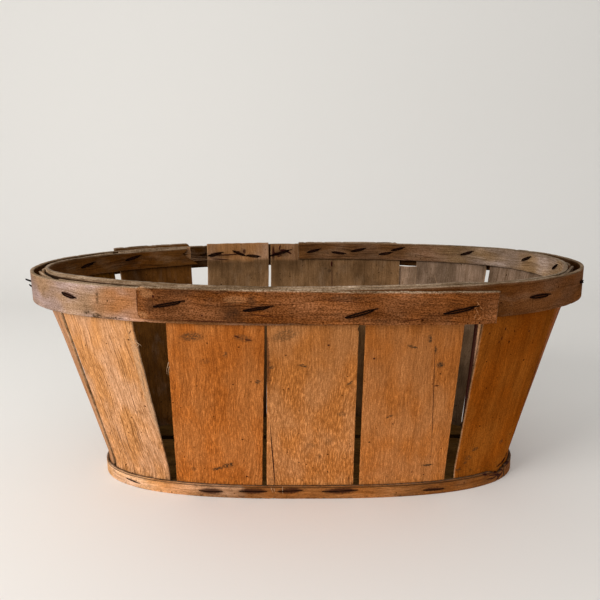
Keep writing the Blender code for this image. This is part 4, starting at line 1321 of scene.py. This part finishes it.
def staple_marks(staples, foot_at, broad, strength):
    """Rust round each staple, in the map of the strip that it holds: across, then along."""
    marks = []
    for along, height, turn, half in map(staple_slope, staples):
        marks.append((height - foot_at(along), along, broad, half, -turn, strength))
    return marks


def bared_marks(start, width):
    """Rust round the bared staples that go through one back stave, in the stave's own map."""
    broad, strength = BARED_RUST
    return [(along - start - width / 2, height, half, broad, turn, strength)
            for along, height, turn, half in map(staple_slope, BARED_STAPLES)
            if start < along < start + width]


def colour(name, value, description):
    return FloatVectorProperty(name=name, description=description, default=value, subtype="COLOR",
                               min=0.0, max=1.0, size=3)


def length(name, value, description):
    return FloatProperty(name=name, description=description, default=value, unit="LENGTH",
                         subtype="DISTANCE", min=0.0, precision=5)


class BasketShape(bpy.types.PropertyGroup):
    cell: length("Cell", 0.0026, "Distance between the points of a sheet of veneer")
    edge_rounding: length("Edge Rounding", 0.00040, "How far the cut edges are worn round")
    edge_wear: length("Edge Wear", 0.00022, "How far the cut edges are worn back")
    warp: length("Warp", 0.00022, "How far a stave waves in and out")


class BasketStaples(bpy.types.PropertyGroup):
    wire: length("Wire", 0.00105, "Diameter of the staple wire")
    bend: length("Bend", 0.00110, "Radius of the bends of a staple")
    leg: length("Leg", 0.00230, "How far a leg of a staple goes into the wood")
    stand_off: length("Stand-off", 0.00035, "How far the middle of a crown stands off the wood")
    fibre: length("Fibre", 0.00055, "Thickness of a loose wood fibre at its root")
    seed: IntProperty(name="Seed", description="Chooses the bends of staples and fibres", default=11, min=0)


class BasketColours(bpy.types.PropertyGroup):
    front_1: colour("First Front Stave", (0.615, 0.305, 0.134), "Pale tan")
    front_2: colour("Second Front Stave", (0.448, 0.145, 0.0290), "Orange")
    front_3: colour("Third Front Stave", (0.485, 0.190, 0.054), "Orange tan")
    front_4: colour("Fourth Front Stave", (0.460, 0.168, 0.0430), "Orange tan")
    front_5: colour("Fifth Front Stave", (0.279, 0.077, 0.0075), "Deep orange brown")
    pale_streak: colour("Pale Streak", (0.47, 0.33, 0.21), "Worn streak of the first front stave")
    end: colour("End Staves", (0.48, 0.235, 0.108), "Tan of the staves at the round ends")
    splint: colour("Front Splint", (0.70, 0.40, 0.235), "Pale pinkish tan of the splint")
    # The inside colour also paints shade: at 0.45 it darkens the outer hoop's inner face.
    inside: colour("Inside", (0.106, 0.0385, 0.0066), "Dark brown of the old wood inside")
    inside_left: colour("Inside, Left End", (0.165, 0.062, 0.0040), "Orange brown inside at the left end")
    inside_middle: colour("Inside, Middle", (0.164, 0.087, 0.038), "Brown inside at the back")
    inside_grey: colour("Inside, Right", (0.206, 0.134, 0.089), "Lighter grey brown inside at the right")
    hoop: colour("Outer Hoop", (0.335, 0.222, 0.165), "Pinkish tan of the outer hoop at the left")
    hoop_middle: colour("Outer Hoop, Left of the Strip", (0.365, 0.168, 0.078), "Orange tan")
    hoop_right: colour("Outer Hoop, Right", (0.122, 0.040, 0.0085), "Dark brown of the hoop at the right")
    hoop_end: colour("Outer Hoop, Right End", (0.128, 0.051, 0.0190), "Olive brown of the hoop's right end")
    strip: colour("Front Strip", (0.184, 0.064, 0.0190), "Reddish brown")
    band: colour("Foot Band", (0.820, 0.500, 0.300), "Cream of the foot band at the left")
    band_middle: colour("Foot Band, Left Front", (0.620, 0.310, 0.140), "Tan of the band at the left front")
    band_right: colour("Foot Band, Right", (0.280, 0.104, 0.0260), "Brown of the foot band at the right")
    inner_hoop: colour("Inner Hoop, Right", (0.145, 0.070, 0.0300), "Warm grey brown")
    floor: colour("Floor Boards", (0.105, 0.050, 0.0110), "Dark olive brown")
    bared: colour("Bared Staves", (0.44, 0.230, 0.110), "Wood that the broken hoop laid bare")
    cut_edge: colour("Cut Edges", (0.58, 0.36, 0.20), "Light wood of the cut edges")
    top_edge: colour("Top Edges", (0.245, 0.172, 0.112), "Weathered grey brown of the top edges")
    weathered: colour("Weathered Wood", (0.22, 0.150, 0.098), "Grey patches")
    # Grime also serves as painted shade: on the floor boards' edges, in the line along the foot band's top
    # edge and on the inner hoop's face against the staves.
    grime: colour("Grime", (0.030, 0.014, 0.0060), "Dirt in corners")
    smudge: colour("Smudges", (0.052, 0.028, 0.013), "Grey brown smudges")
    stain: colour("Stains", (0.020, 0.010, 0.0055), "Dark stains of the strip and the hoop")
    crack: colour("Cracks", (0.030, 0.0055, 0.0035), "Cracks, holes and dark dots")
    # The rust colour also draws the painted shade along the rippled front stave's left edge.
    rust: colour("Rust", (0.036, 0.0095, 0.0050), "Rust round the staples")
    wire: colour("Wire", (0.0050, 0.0025, 0.0018), "Dark staple wire")


class BasketStage(bpy.types.PropertyGroup):
    backdrop: colour("Backdrop", (0.80, 0.79, 0.77), "Pale floor and backdrop")
    key: FloatProperty(name="Key Light", description="Power of the light at the left", default=19.0,
                       min=0.0, unit="POWER")
    fill: FloatProperty(name="Fill", description="Strength of the light from all round", default=0.62,
                        min=0.0)


class BASKET_OT_front_staves(bpy.types.Operator):
    """Build the five front staves"""
    bl_idname = "basket.front_staves"
    bl_label = "Front Staves"

    def execute(self, context):
        for number, (name, slot, light_edges, lowering) in enumerate(FRONT_STAVES, 1):
            node = f"stave_front_{number}"
            rim, foot, top = PLACES[node]
            veneer_stave(node, rim, foot, front_depth, Wood(name).finish(), slot, 100 + number,
                         top=top - lowering, light_edges=light_edges)
        return {"FINISHED"}


class BASKET_OT_back_staves(bpy.types.Operator):
    """Build the five back staves"""
    bl_idname = "basket.back_staves"
    bl_label = "Back Staves"

    def execute(self, context):
        for number in range(1, 6):
            node = f"stave_back_{number}"
            rim, foot, top = PLACES[node]
            look = Wood(f"back_stave_{number}", bared_marks(*rim)).finish()
            veneer_stave(node, rim, foot, front_depth, look, "grey_stave", 200 + number, top=top,
                         light_edges=LAPPED_EDGES.get(number, EDGE_LIGHT),
                         trim=-BACK_STAVE_LAP if number == 4 else 0.0)
        return {"FINISHED"}


class BASKET_OT_end_staves(bpy.types.Operator):
    """Build the staves round both ends"""
    bl_idname = "basket.end_staves"
    bl_label = "End Staves"

    def execute(self, context):
        for count, (side, before, after) in enumerate((("right", "stave_right_front", "stave_right_back"),
                                                       ("left", "stave_left_back", "stave_left_front"))):
            look = Wood(f"{side}_end_stave").finish()
            rim_from = sum(PLACES[before][0]) + END_STAVE_SIDE_GAP
            rim_to = PLACES[after][0][0] - END_STAVE_SIDE_GAP
            foot_middle = (sum(PLACES[before][1]) + PLACES[after][1][0]) / 2
            veneer_stave(f"stave_{side}_middle", (rim_from, rim_to - rim_from),
                         (foot_middle - END_STAVE_FOOT_WIDTH / 2, END_STAVE_FOOT_WIDTH), behind_depth,
                         look, "grey_stave", 300 + count, top=END_STAVE_TOP, shift=3.0 + count)
            for number, node in enumerate((before, after), 2 * count):
                rim, foot, top = PLACES[node]
                slot = "pale_stave" if "front" in node else "grey_stave"
                veneer_stave(node, rim, foot, front_depth, look, slot, 310 + number,
                             top=top - END_STAVE_LOWERING, shift=5.0 + number,
                             trim=LEFT_STAVE_TRIM if node == "stave_left_front" else 0.0)
        return {"FINISHED"}


class BASKET_OT_splints(bpy.types.Operator):
    """Build the narrow splint behind the fifth front stave and the one outside the back"""
    bl_idname = "basket.splints"
    bl_label = "Splints"

    def execute(self, context):
        veneer_stave("splint_front_5", SPLINT_RIM, SPLINT_FOOT, splint_depth, Wood("pale_splint").finish(),
                     "pale_stave", 330, bottom=FLOOR_THICKNESS + GAP, top=SPLINT_TOP - SPLINT_LOWERING)
        right_rim, right_foot, _ = PLACES["stave_back_5"]
        left_rim, left_foot, _ = PLACES["stave_back_4"]
        rim_from = sum(right_rim) - BACK_SPLINT_RIM_LAP
        foot_from = sum(right_foot) - BACK_SPLINT_FOOT_LAP
        veneer_stave("splint_back", (rim_from, left_rim[0] + BACK_SPLINT_RIM_LAP - rim_from),
                     (foot_from, left_foot[0] + BACK_SPLINT_FOOT_LAP - foot_from), outer_splint_depth,
                     Wood("grey_splint").finish(), "grey_stave", 340, bottom=BAND_HEIGHT + GAP,
                     top=-(OUTER_HOOP_HEIGHT + GAP))
        return {"FINISHED"}


class BASKET_OT_outer_hoop(bpy.types.Operator):
    """Build the hoop outside the staves"""
    bl_idname = "basket.outer_hoop"
    bl_label = "Outer Hoop"

    def execute(self, context):
        run, up, low, high, start, _ = closed_strip(
            RIM, HOOP_JOINT_AT, OUTER_HOOP_HEIGHT, context.scene.basket_shape.cell, (1.6, 26), (1.6, 30), 401)
        along, across = spread(run, up, low, high)
        base = RIM_HEIGHT - OUTER_HOOP_HEIGHT
        rust = staple_marks(HOOP_STAPLES, lambda along: base, *HOOP_RUST)
        look = Wood("outer_hoop_wood", rust, RIM.run_from(start)).finish()
        # The thin light band along the top of the hoop's outside is weathered grey wood and also a painted
        # highlight on the top edge.
        bent_strip("outer_hoop", RIM, along, across, 0.0, base, HOOP_THICKNESS, look, "tan_hoop",
                   *strip_wear(across.shape, up, 0.15, 0.955, 0.03, first=0.0))
        return {"FINISHED"}


class BASKET_OT_inner_hoop(bpy.types.Operator):
    """Build the broken hoop inside the staves"""
    bl_idname = "basket.inner_hoop"
    bl_label = "Inner Hoop"

    def execute(self, context):
        shape = context.scene.basket_shape
        start = INNER_HOOP_BREAK_AT - RIM.total
        share = steps_with_edges(INNER_HOOP_END_AT - start, shape.cell, shape.edge_rounding)
        up = steps_with_edges(INNER_HOOP_HEIGHT, shape.cell / 2.2, shape.edge_rounding)
        tear = np.interp(up * 3, range(4), INNER_HOOP_TEAR)
        for size, lumps, seed in INNER_HOOP_JAGS:
            tear = tear + size * soft_noise(up * lumps, 0.5, seed)
        along = start + tear[:, None] + (INNER_HOOP_END_AT - start - tear[:, None]) * share[None, :]
        low = worn_edge(along, 411, shape.edge_wear * 1.5, 24)
        high = INNER_HOOP_HEIGHT - worn_edge(along, 412, shape.edge_wear * 1.5, 28)
        dip_from, dip_to, dip, comes, goes = INNER_HOOP_DIP
        high = high - dip * smooth_step((along - dip_from) / comes) * smooth_step((dip_to - along) / goes)
        across = low + (high - low) * up[:, None]
        lift = inner_hoop_foot(along)
        edge = edge_mask(*along.shape, first=0.35) * smooth_step((along - start - 0.006) / 0.004)
        top = smooth_step((up - 0.94) / 0.04)[:, None]
        shown = smooth_step((up - 0.82) / 0.06)[:, None]
        rust = staple_marks(INNER_STAPLES, inner_hoop_foot, *RUST)
        look = Wood("inner_hoop_wood", rust, RIM.run_from(start)).finish()
        # The face against the staves is painted in the grime colour below its top share, as painted shade; it
        # shows only through the gaps between the staves.
        bent_strip("inner_hoop", RIM, along, across, inner_hoop_inset(along, lift + across), lift,
                   INNER_HOOP_THICKNESS, look, "brown_hoop", wear_map(edge, 0.3, 1 - shown, shown),
                   wear_map(edge, 0.3, 0.0, top))
        return {"FINISHED"}


class BASKET_OT_hoop_strips(bpy.types.Operator):
    """Build the strips over the joints of the outer hoop"""
    bl_idname = "basket.hoop_strips"
    bl_label = "Hoop Strips"

    def execute(self, context):
        along, across, up = strip_grid(*FRONT_STRIP, STRIP_HEIGHT, 421, FRONT_STRIP_SLANT)
        look = Wood("front_strip_wood", staple_marks(FRONT_STAPLES, front_strip_foot, *STRIP_RUST)).finish()
        wear = strip_wear(along.shape, up, 0.25, 0.945, 0.03, first=0.0)
        bent_strip("front_strip", RIM, along, across, front_strip_inset(along), front_strip_foot(along),
                   STRIP_THICKNESS, look, "red_strip", *wear)
        look = Wood("back_strip_wood").finish()
        for count, (side, (start, end, rise)) in enumerate(BACK_STRIPS.items()):
            along, across, up = strip_grid(start, end, BACK_STRIP_HEIGHT, 431 + 10 * count)
            wear = strip_wear(along.shape, up, 0.2, 0.93, 0.05)
            bent_strip(f"back_strip_{side}", RIM, along, across, STRIP_INSET,
                       RIM_HEIGHT + rise - BACK_STRIP_HEIGHT, STRIP_THICKNESS, look, "brown_hoop", *wear)
        return {"FINISHED"}


class BASKET_OT_foot_band(bpy.types.Operator):
    """Build the low band round the foot"""
    bl_idname = "basket.foot_band"
    bl_label = "Foot Band"

    def execute(self, context):
        run, up, low, high, start, end = closed_strip(
            FOOT, BAND_JOINT_AT, BAND_HEIGHT, context.scene.basket_shape.cell / 2, (0.5, 4), (1.5, 22), 451)
        chipped = BAND_CHIP_DEPTH * smooth_step(1 - np.abs(run - (end - BAND_CHIP_AT)) / BAND_CHIP_REACH)
        high = high - chipped * (0.65 + 0.35 * soft_noise(run / 0.0021, 0.5, 9))
        along, across = spread(run, up, low, high)
        edge = edge_mask(*across.shape, first=0.2)
        # The band darkens towards its foot: dirt, and painted contact shadow where it stands on the floor.
        low_dirt_and_shade = smooth_step(1 - across / BAND_DIRT_AND_SHADE_FOOT)
        rust = []
        for number, staple in enumerate(BAND_STAPLES):
            rust += staple_marks([staple], lambda along: 0.0, *ODD_BAND_RUST.get(number, BAND_RUST))
        look = Wood("foot_band_wood", rust, FOOT.run_from(start)).finish()
        bent_strip("foot_band", FOOT, along, across, 0.0, 0.0, BAND_THICKNESS, look, "band",
                   wear_map(edge, 0.35 + 0.5 * low_dirt_and_shade, 0.0), wear_map(edge, 0.5, 1.0))
        return {"FINISHED"}


class BASKET_OT_floor_boards(bpy.types.Operator):
    """Build the two floor boards"""
    bl_idname = "basket.floor_boards"
    bl_label = "Floor Boards"

    def execute(self, context):
        look = Wood("floor_board_wood").finish()
        along = np.linspace(0, FOOT.total, FLOOR_POINTS + 1)[:-1]
        over_ends = smooth_step(FLOOR_END_REACH * FOOT.normal(along)[0] ** 2)
        x, y = FOOT.point(along, STAVE_FOOT_INSET + STAVE_THICKNESS + FLOOR_FIT + LAYER * over_ends)
        outline = list(zip(x.tolist(), y.tolist()))
        for node, side in (("floor_board_front", -1), ("floor_board_back", 1)):
            cut = FLOOR_SEAM_AT + side * FLOOR_SEAM / 2
            ring = []
            for here, there in zip(outline, outline[1:] + outline[:1]):
                if (here[1] - cut) * side > 0:
                    ring.append(here)
                if ((here[1] - cut) * side > 0) != ((there[1] - cut) * side > 0):
                    share = (cut - here[1]) / (there[1] - here[1])
                    ring.append((here[0] + (there[0] - here[0]) * share, cut))
            board = self.board(node, ring, look, context.scene.basket_shape.edge_rounding * 1.5)
            finish_piece(board, "floor", node)
        return {"FINISHED"}

    def board(self, node, ring, look, rounding):
        """A flat board of the ring's outline with its upper and lower edges rounded."""
        ring = np.array(ring)
        tangent = np.roll(ring, -1, 0) - np.roll(ring, 1, 0)
        tangent /= np.linalg.norm(tangent, axis=1)[:, None]
        inwards = np.stack([-tangent[:, 1], tangent[:, 0]], -1)
        count = len(ring)
        layers = ((1.0, 0.0), (0.3, 0.3), (0.0, 1.0), (0.0, -1.0), (0.3, -0.3), (1.0, 0.0))
        points = []
        for number, (drawn, up) in enumerate(layers):
            height = rounding * up + (FLOOR_THICKNESS if number > 2 else 0.0)
            points += [(x, y, height) for x, y in (ring + inwards * rounding * drawn).tolist()]
        faces = [list(reversed(range(count))), list(range(5 * count, 6 * count))]
        for level in range(5):
            for here in range(count):
                corners = [here, (here + 1) % count]
                faces.append([level * count + corner for corner in corners]
                             + [(level + 1) * count + corner for corner in reversed(corners)])
        mesh = bpy.data.meshes.new(node + "_wood")
        mesh.from_pydata(points, [], faces)
        layer = mesh.uv_layers.new(name="grain")
        for loop in mesh.loops:
            x, y, z = points[loop.vertex_index]
            layer.data[loop.index].uv = (y + z, x)
        wear = mesh.color_attributes.new("wear", "FLOAT_COLOR", "POINT")
        for number in range(len(points)):
            # The rounded edges get the edge colour, which on the floor boards is painted shade.
            painted_edge_shade = 0.9 if number // count in (1, 2, 3, 4) else 0.0
            wear.data[number].color = (painted_edge_shade, 0.5, 0.5, 0.0)
        return new_object(node + "_wood", mesh, look)


def lines_mesh(name, lines):
    """Lines of points as one mesh of edges."""
    points = []
    edges = []
    for line in lines:
        first = len(points)
        points += line
        edges += [(first + step, first + step + 1) for step in range(len(line) - 1)]
    mesh = bpy.data.meshes.new(name)
    mesh.from_pydata(points, edges, [])
    return mesh


def wires(name, lines, look, slot, sizes):
    finish_piece(grow(name, lines_mesh(name, lines), wire_tree(), look, sizes), slot)


def crowns(oval, staples, settings, random):
    """Staples from outside, each as a line: leg, crown and leg."""
    lines = []
    for along_from, height_from, along_to, height_to in staples:
        lift = settings.stand_off * random.uniform(0.4, 1.8)
        line = []
        for share, stand in ((0.0, -settings.leg), (0.0, 0.0), (0.3, lift), (0.7, lift * 0.8), (1.0, 0.0),
                             (1.0, -settings.leg)):
            along = along_from + (along_to - along_from) * share
            height = height_from + (height_to - height_from) * share + random.uniform(-0.0003, 0.0003)
            line.append(oval.spot(along, height, -settings.wire * 0.3 - stand))
        lines.append(line)
    return lines


def clenched_legs(staples, inset_at, face, settings, random):
    """Staple legs that come through the wood of the rim and are bent over past each other."""
    lines = []
    for along_from, height_from, along_to, height_to in staples:
        for start, stop, side in ((0.0, 1.10, 1), (0.94, 0.02, -1)):
            apart = side * settings.wire * random.uniform(0.72, 0.95)
            lift = settings.stand_off * random.uniform(0.6, 2.4)
            line = []
            for share, stand, spread_out in ((0.0, -settings.leg, 0.2), (0.0, 0.0, 0.3), (0.20, lift, 1.0),
                                             (0.75, lift, 0.9), (1.0, lift * 0.1, 0.1)):
                place = start + (stop - start) * share
                along = along_from + (along_to - along_from) * place
                height = height_from + (height_to - height_from) * place + apart * spread_out
                stand_off = face * (settings.wire * 0.3 + stand)
                line.append(RIM.spot(along, height, inset_at(along, height) - stand_off))
            lines.append(line)
    return lines


class BASKET_OT_staples(bpy.types.Operator):
    """Build the wire staples in the rim and in the foot band"""
    bl_idname = "basket.staples"
    bl_label = "Staples"

    def execute(self, context):
        settings = context.scene.basket_staples
        random = np.random.default_rng(settings.seed)

        def inner_face(along, height):
            return inner_hoop_inset(along, height, INNER_HOOP_THICKNESS)

        lines = []
        for staples, inset_at, face in (
                (FRONT_STAPLES, front_strip_inset, 1),
                (HOOP_STAPLES, lambda along, height: 0.0, 1),
                (BACK_STAPLES, lambda along, height: STRIP_INSET, 1),
                (INNER_STAPLES, inner_face, -1),
                (BARED_STAPLES, lambda along, height: STAVE_RIM_INSET + STAVE_THICKNESS + bow(along), -1)):
            lines += clenched_legs(staples, inset_at, face, settings, random)
        lines += [[RIM.spot(along, height, -stand) for along, height, stand in line] for line in LOOSE_WIRES]
        look = wire_finish()
        sizes = {"Diameter": settings.wire, "Bend Radius": settings.bend, "Taper": 0.2, "Unevenness": 0.0004,
                 "Seed": float(settings.seed)}
        wires("rim_staples", lines, look, "staple_wire", sizes)
        lines = crowns(FOOT, BAND_STAPLES, settings, random)
        wires("foot_staples", lines, look, "staple_wire", {**sizes, "Diameter": settings.wire * 0.7})
        return {"FINISHED"}


class BASKET_OT_splinters(bpy.types.Operator):
    """Build the loose fibres at the torn hoop, the chipped foot band and the staves' edges"""
    bl_idname = "basket.splinters"
    bl_label = "Splinters"

    def execute(self, context):
        settings = context.scene.basket_staples
        random = np.random.default_rng(settings.seed + 1)
        sizes = {"Diameter": settings.fibre, "Bend Radius": 0.0, "Taper": 0.85, "Unevenness": 0.0009,
                 "Sides": 5, "Seed": float(settings.seed + 1)}
        look = fibre_finish("brown_wood_fibre", tone("bared", 0.7))
        wires("hoop_splinters", self.torn_fibres(random), look, "tan_hoop", sizes)
        look = fibre_finish("pale_wood_fibre", tone("cut_edge"))
        wires("pale_splinters", self.band_fibres() + self.stave_fibres(), look, "band", sizes)
        return {"FINISHED"}

    def torn_fibres(self, random):
        lines = []
        for count, reach in enumerate(TORN_FIBRE_REACHES):
            height = TORN_FIBRE_LOWEST + TORN_FIBRE_STEP * count + random.uniform(-0.0006, 0.0006)
            droop = random.uniform(-0.0020, 0.0010)
            line = []
            for share in (0.0, 0.35, 0.7, 1.0):
                along = INNER_HOOP_BREAK_AT + TORN_FIBRE_ROOT - (reach + TORN_FIBRE_ROOT) * share
                inset = STAVE_RIM_INSET + LAYER + bow(along) + 0.0008 + random.uniform(0.0, 0.0012) * share
                line.append(RIM.spot(along, height + share * droop, inset))
            lines.append(line)
        return lines

    def band_fibres(self):
        return [[FOOT.spot(along + lean * share, height - reach * share, 0.0003 - 0.0014 * share)
                 for share in (0.0, 0.5, 1.0)] for along, height, lean, reach in BAND_FIBRES]

    def stave_fibres(self):
        lines = []
        for node, share, drift, height, reach in STAVE_FIBRES:
            rim, foot, _ = PLACES[node]
            line = []
            for step in (0.0, 0.5, 1.0):
                z = height - reach * step
                at = share + drift * math.sin(1.6 * step)
                rim_along = rim[0] + rim[1] * at
                rise = rise_between_bends(rim_along, z)
                depth = front_depth(rim_along, 1 - (2 * at - 1) ** 2, rise) - 0.0004 * (1 + 2 * step)
                line.append(wall_point(rim_along, foot[0] + foot[1] * at, z, depth).tolist())
            lines.append(line)
        return lines


class BASKET_OT_stage(bpy.types.Operator):
    """Set up the floor, the backdrop, the lights and the camera"""
    bl_idname = "basket.stage"
    bl_label = "Stage"

    def execute(self, context):
        self.backdrop(context.scene.basket_stage)
        self.lights(context.scene, context.scene.basket_stage)
        self.camera(context.scene)
        context.scene.view_settings.view_transform = "Standard"
        return {"FINISHED"}

    def backdrop(self, settings):
        """A floor that bends up into a wall behind the basket."""
        look = Finish("pale_backdrop").surface({
            "Base Color": (*settings.backdrop, 1.0), "Roughness": 0.9, "Specular IOR Level": 0.1})
        profile = [(-2.5, 0.0), (0.75, 0.0)]
        for angle in map(math.radians, range(10, 91, 10)):
            profile.append((0.75 + 0.5 * math.sin(angle), 0.5 - 0.5 * math.cos(angle)))
        profile.append((1.25, 2.6))
        points = [(x, y, z) for y, z in profile for x in (-3.0, 3.0)]
        faces = [(2 * n, 2 * n + 1, 2 * n + 3, 2 * n + 2) for n in range(len(profile) - 1)]
        mesh = bpy.data.meshes.new("backdrop")
        mesh.from_pydata(points, [], faces)
        mesh.polygons.foreach_set("use_smooth", [True] * len(mesh.polygons))
        new_object("backdrop", mesh, look)

    def lights(self, scene, settings):
        scene.world = bpy.data.worlds.new("soft_studio")
        scene.world.use_nodes = True
        sky = scene.world.node_tree.nodes["Background"]
        sky.inputs["Color"].default_value = (1.0, 0.985, 0.965, 1.0)
        sky.inputs["Strength"].default_value = settings.fill
        for name, place, size, share, tint in LAMPS:
            lamp = bpy.data.lights.new(name, "AREA")
            lamp.energy = settings.key * share
            lamp.size = size
            lamp.color = tint
            light = linked(bpy.data.objects.new(name, lamp))
            light.location = place
            light.rotation_euler = (Vector(LAMPS_AIM) - light.location).to_track_quat("-Z", "Y").to_euler()

    def camera(self, scene):
        lens = bpy.data.cameras.new("photo_camera")
        lens.sensor_width = CAMERA_SENSOR
        lens.lens = CAMERA_LENS
        camera = linked(bpy.data.objects.new("photo_camera", lens))
        axes = (CAMERA_RIGHT, CAMERA_UP, [-value for value in CAMERA_FORWARD], CAMERA_AT)
        camera.matrix_world = Matrix([*zip(*axes), (0.0, 0.0, 0.0, 1.0)])
        scene.camera = camera


OPERATORS = (
    BASKET_OT_stage, BASKET_OT_floor_boards, BASKET_OT_front_staves, BASKET_OT_back_staves,
    BASKET_OT_end_staves, BASKET_OT_splints, BASKET_OT_foot_band, BASKET_OT_outer_hoop,
    BASKET_OT_inner_hoop, BASKET_OT_hoop_strips, BASKET_OT_staples, BASKET_OT_splinters,
)
SETTINGS = {
    "basket_shape": BasketShape, "basket_staples": BasketStaples, "basket_colours": BasketColours,
    "basket_stage": BasketStage,
}


class BASKET_PT_build(bpy.types.Panel):
    """Lists the basket's pieces and their settings"""
    bl_idname = "BASKET_PT_build"
    bl_label = "Harvest Basket"
    bl_space_type = "VIEW_3D"
    bl_region_type = "UI"
    bl_category = "Basket"

    def draw(self, context):
        for operator in OPERATORS:
            self.layout.operator(operator.bl_idname)
        for key, kind in SETTINGS.items():
            box = self.layout.box()
            for name in kind.__annotations__:
                box.prop(getattr(context.scene, key), name)


CLASSES = (*SETTINGS.values(), *OPERATORS, BASKET_PT_build)


def register():
    for kind in CLASSES:
        bpy.utils.register_class(kind)
    for key, kind in SETTINGS.items():
        setattr(bpy.types.Scene, key, PointerProperty(type=kind))


def unregister():
    for key in SETTINGS:
        delattr(bpy.types.Scene, key)
    for kind in reversed(CLASSES):
        bpy.utils.unregister_class(kind)


def main():
    register()
    bpy.ops.basket.stage()
    bpy.ops.basket.floor_boards()
    bpy.ops.basket.front_staves()
    bpy.ops.basket.back_staves()
    bpy.ops.basket.end_staves()
    bpy.ops.basket.splints()
    bpy.ops.basket.foot_band()
    bpy.ops.basket.outer_hoop()
    bpy.ops.basket.inner_hoop()
    bpy.ops.basket.hoop_strips()
    bpy.ops.basket.staples()
    bpy.ops.basket.splinters()
    RIM.remove_path()
    FOOT.remove_path()


if __name__ == "__main__":
    main()
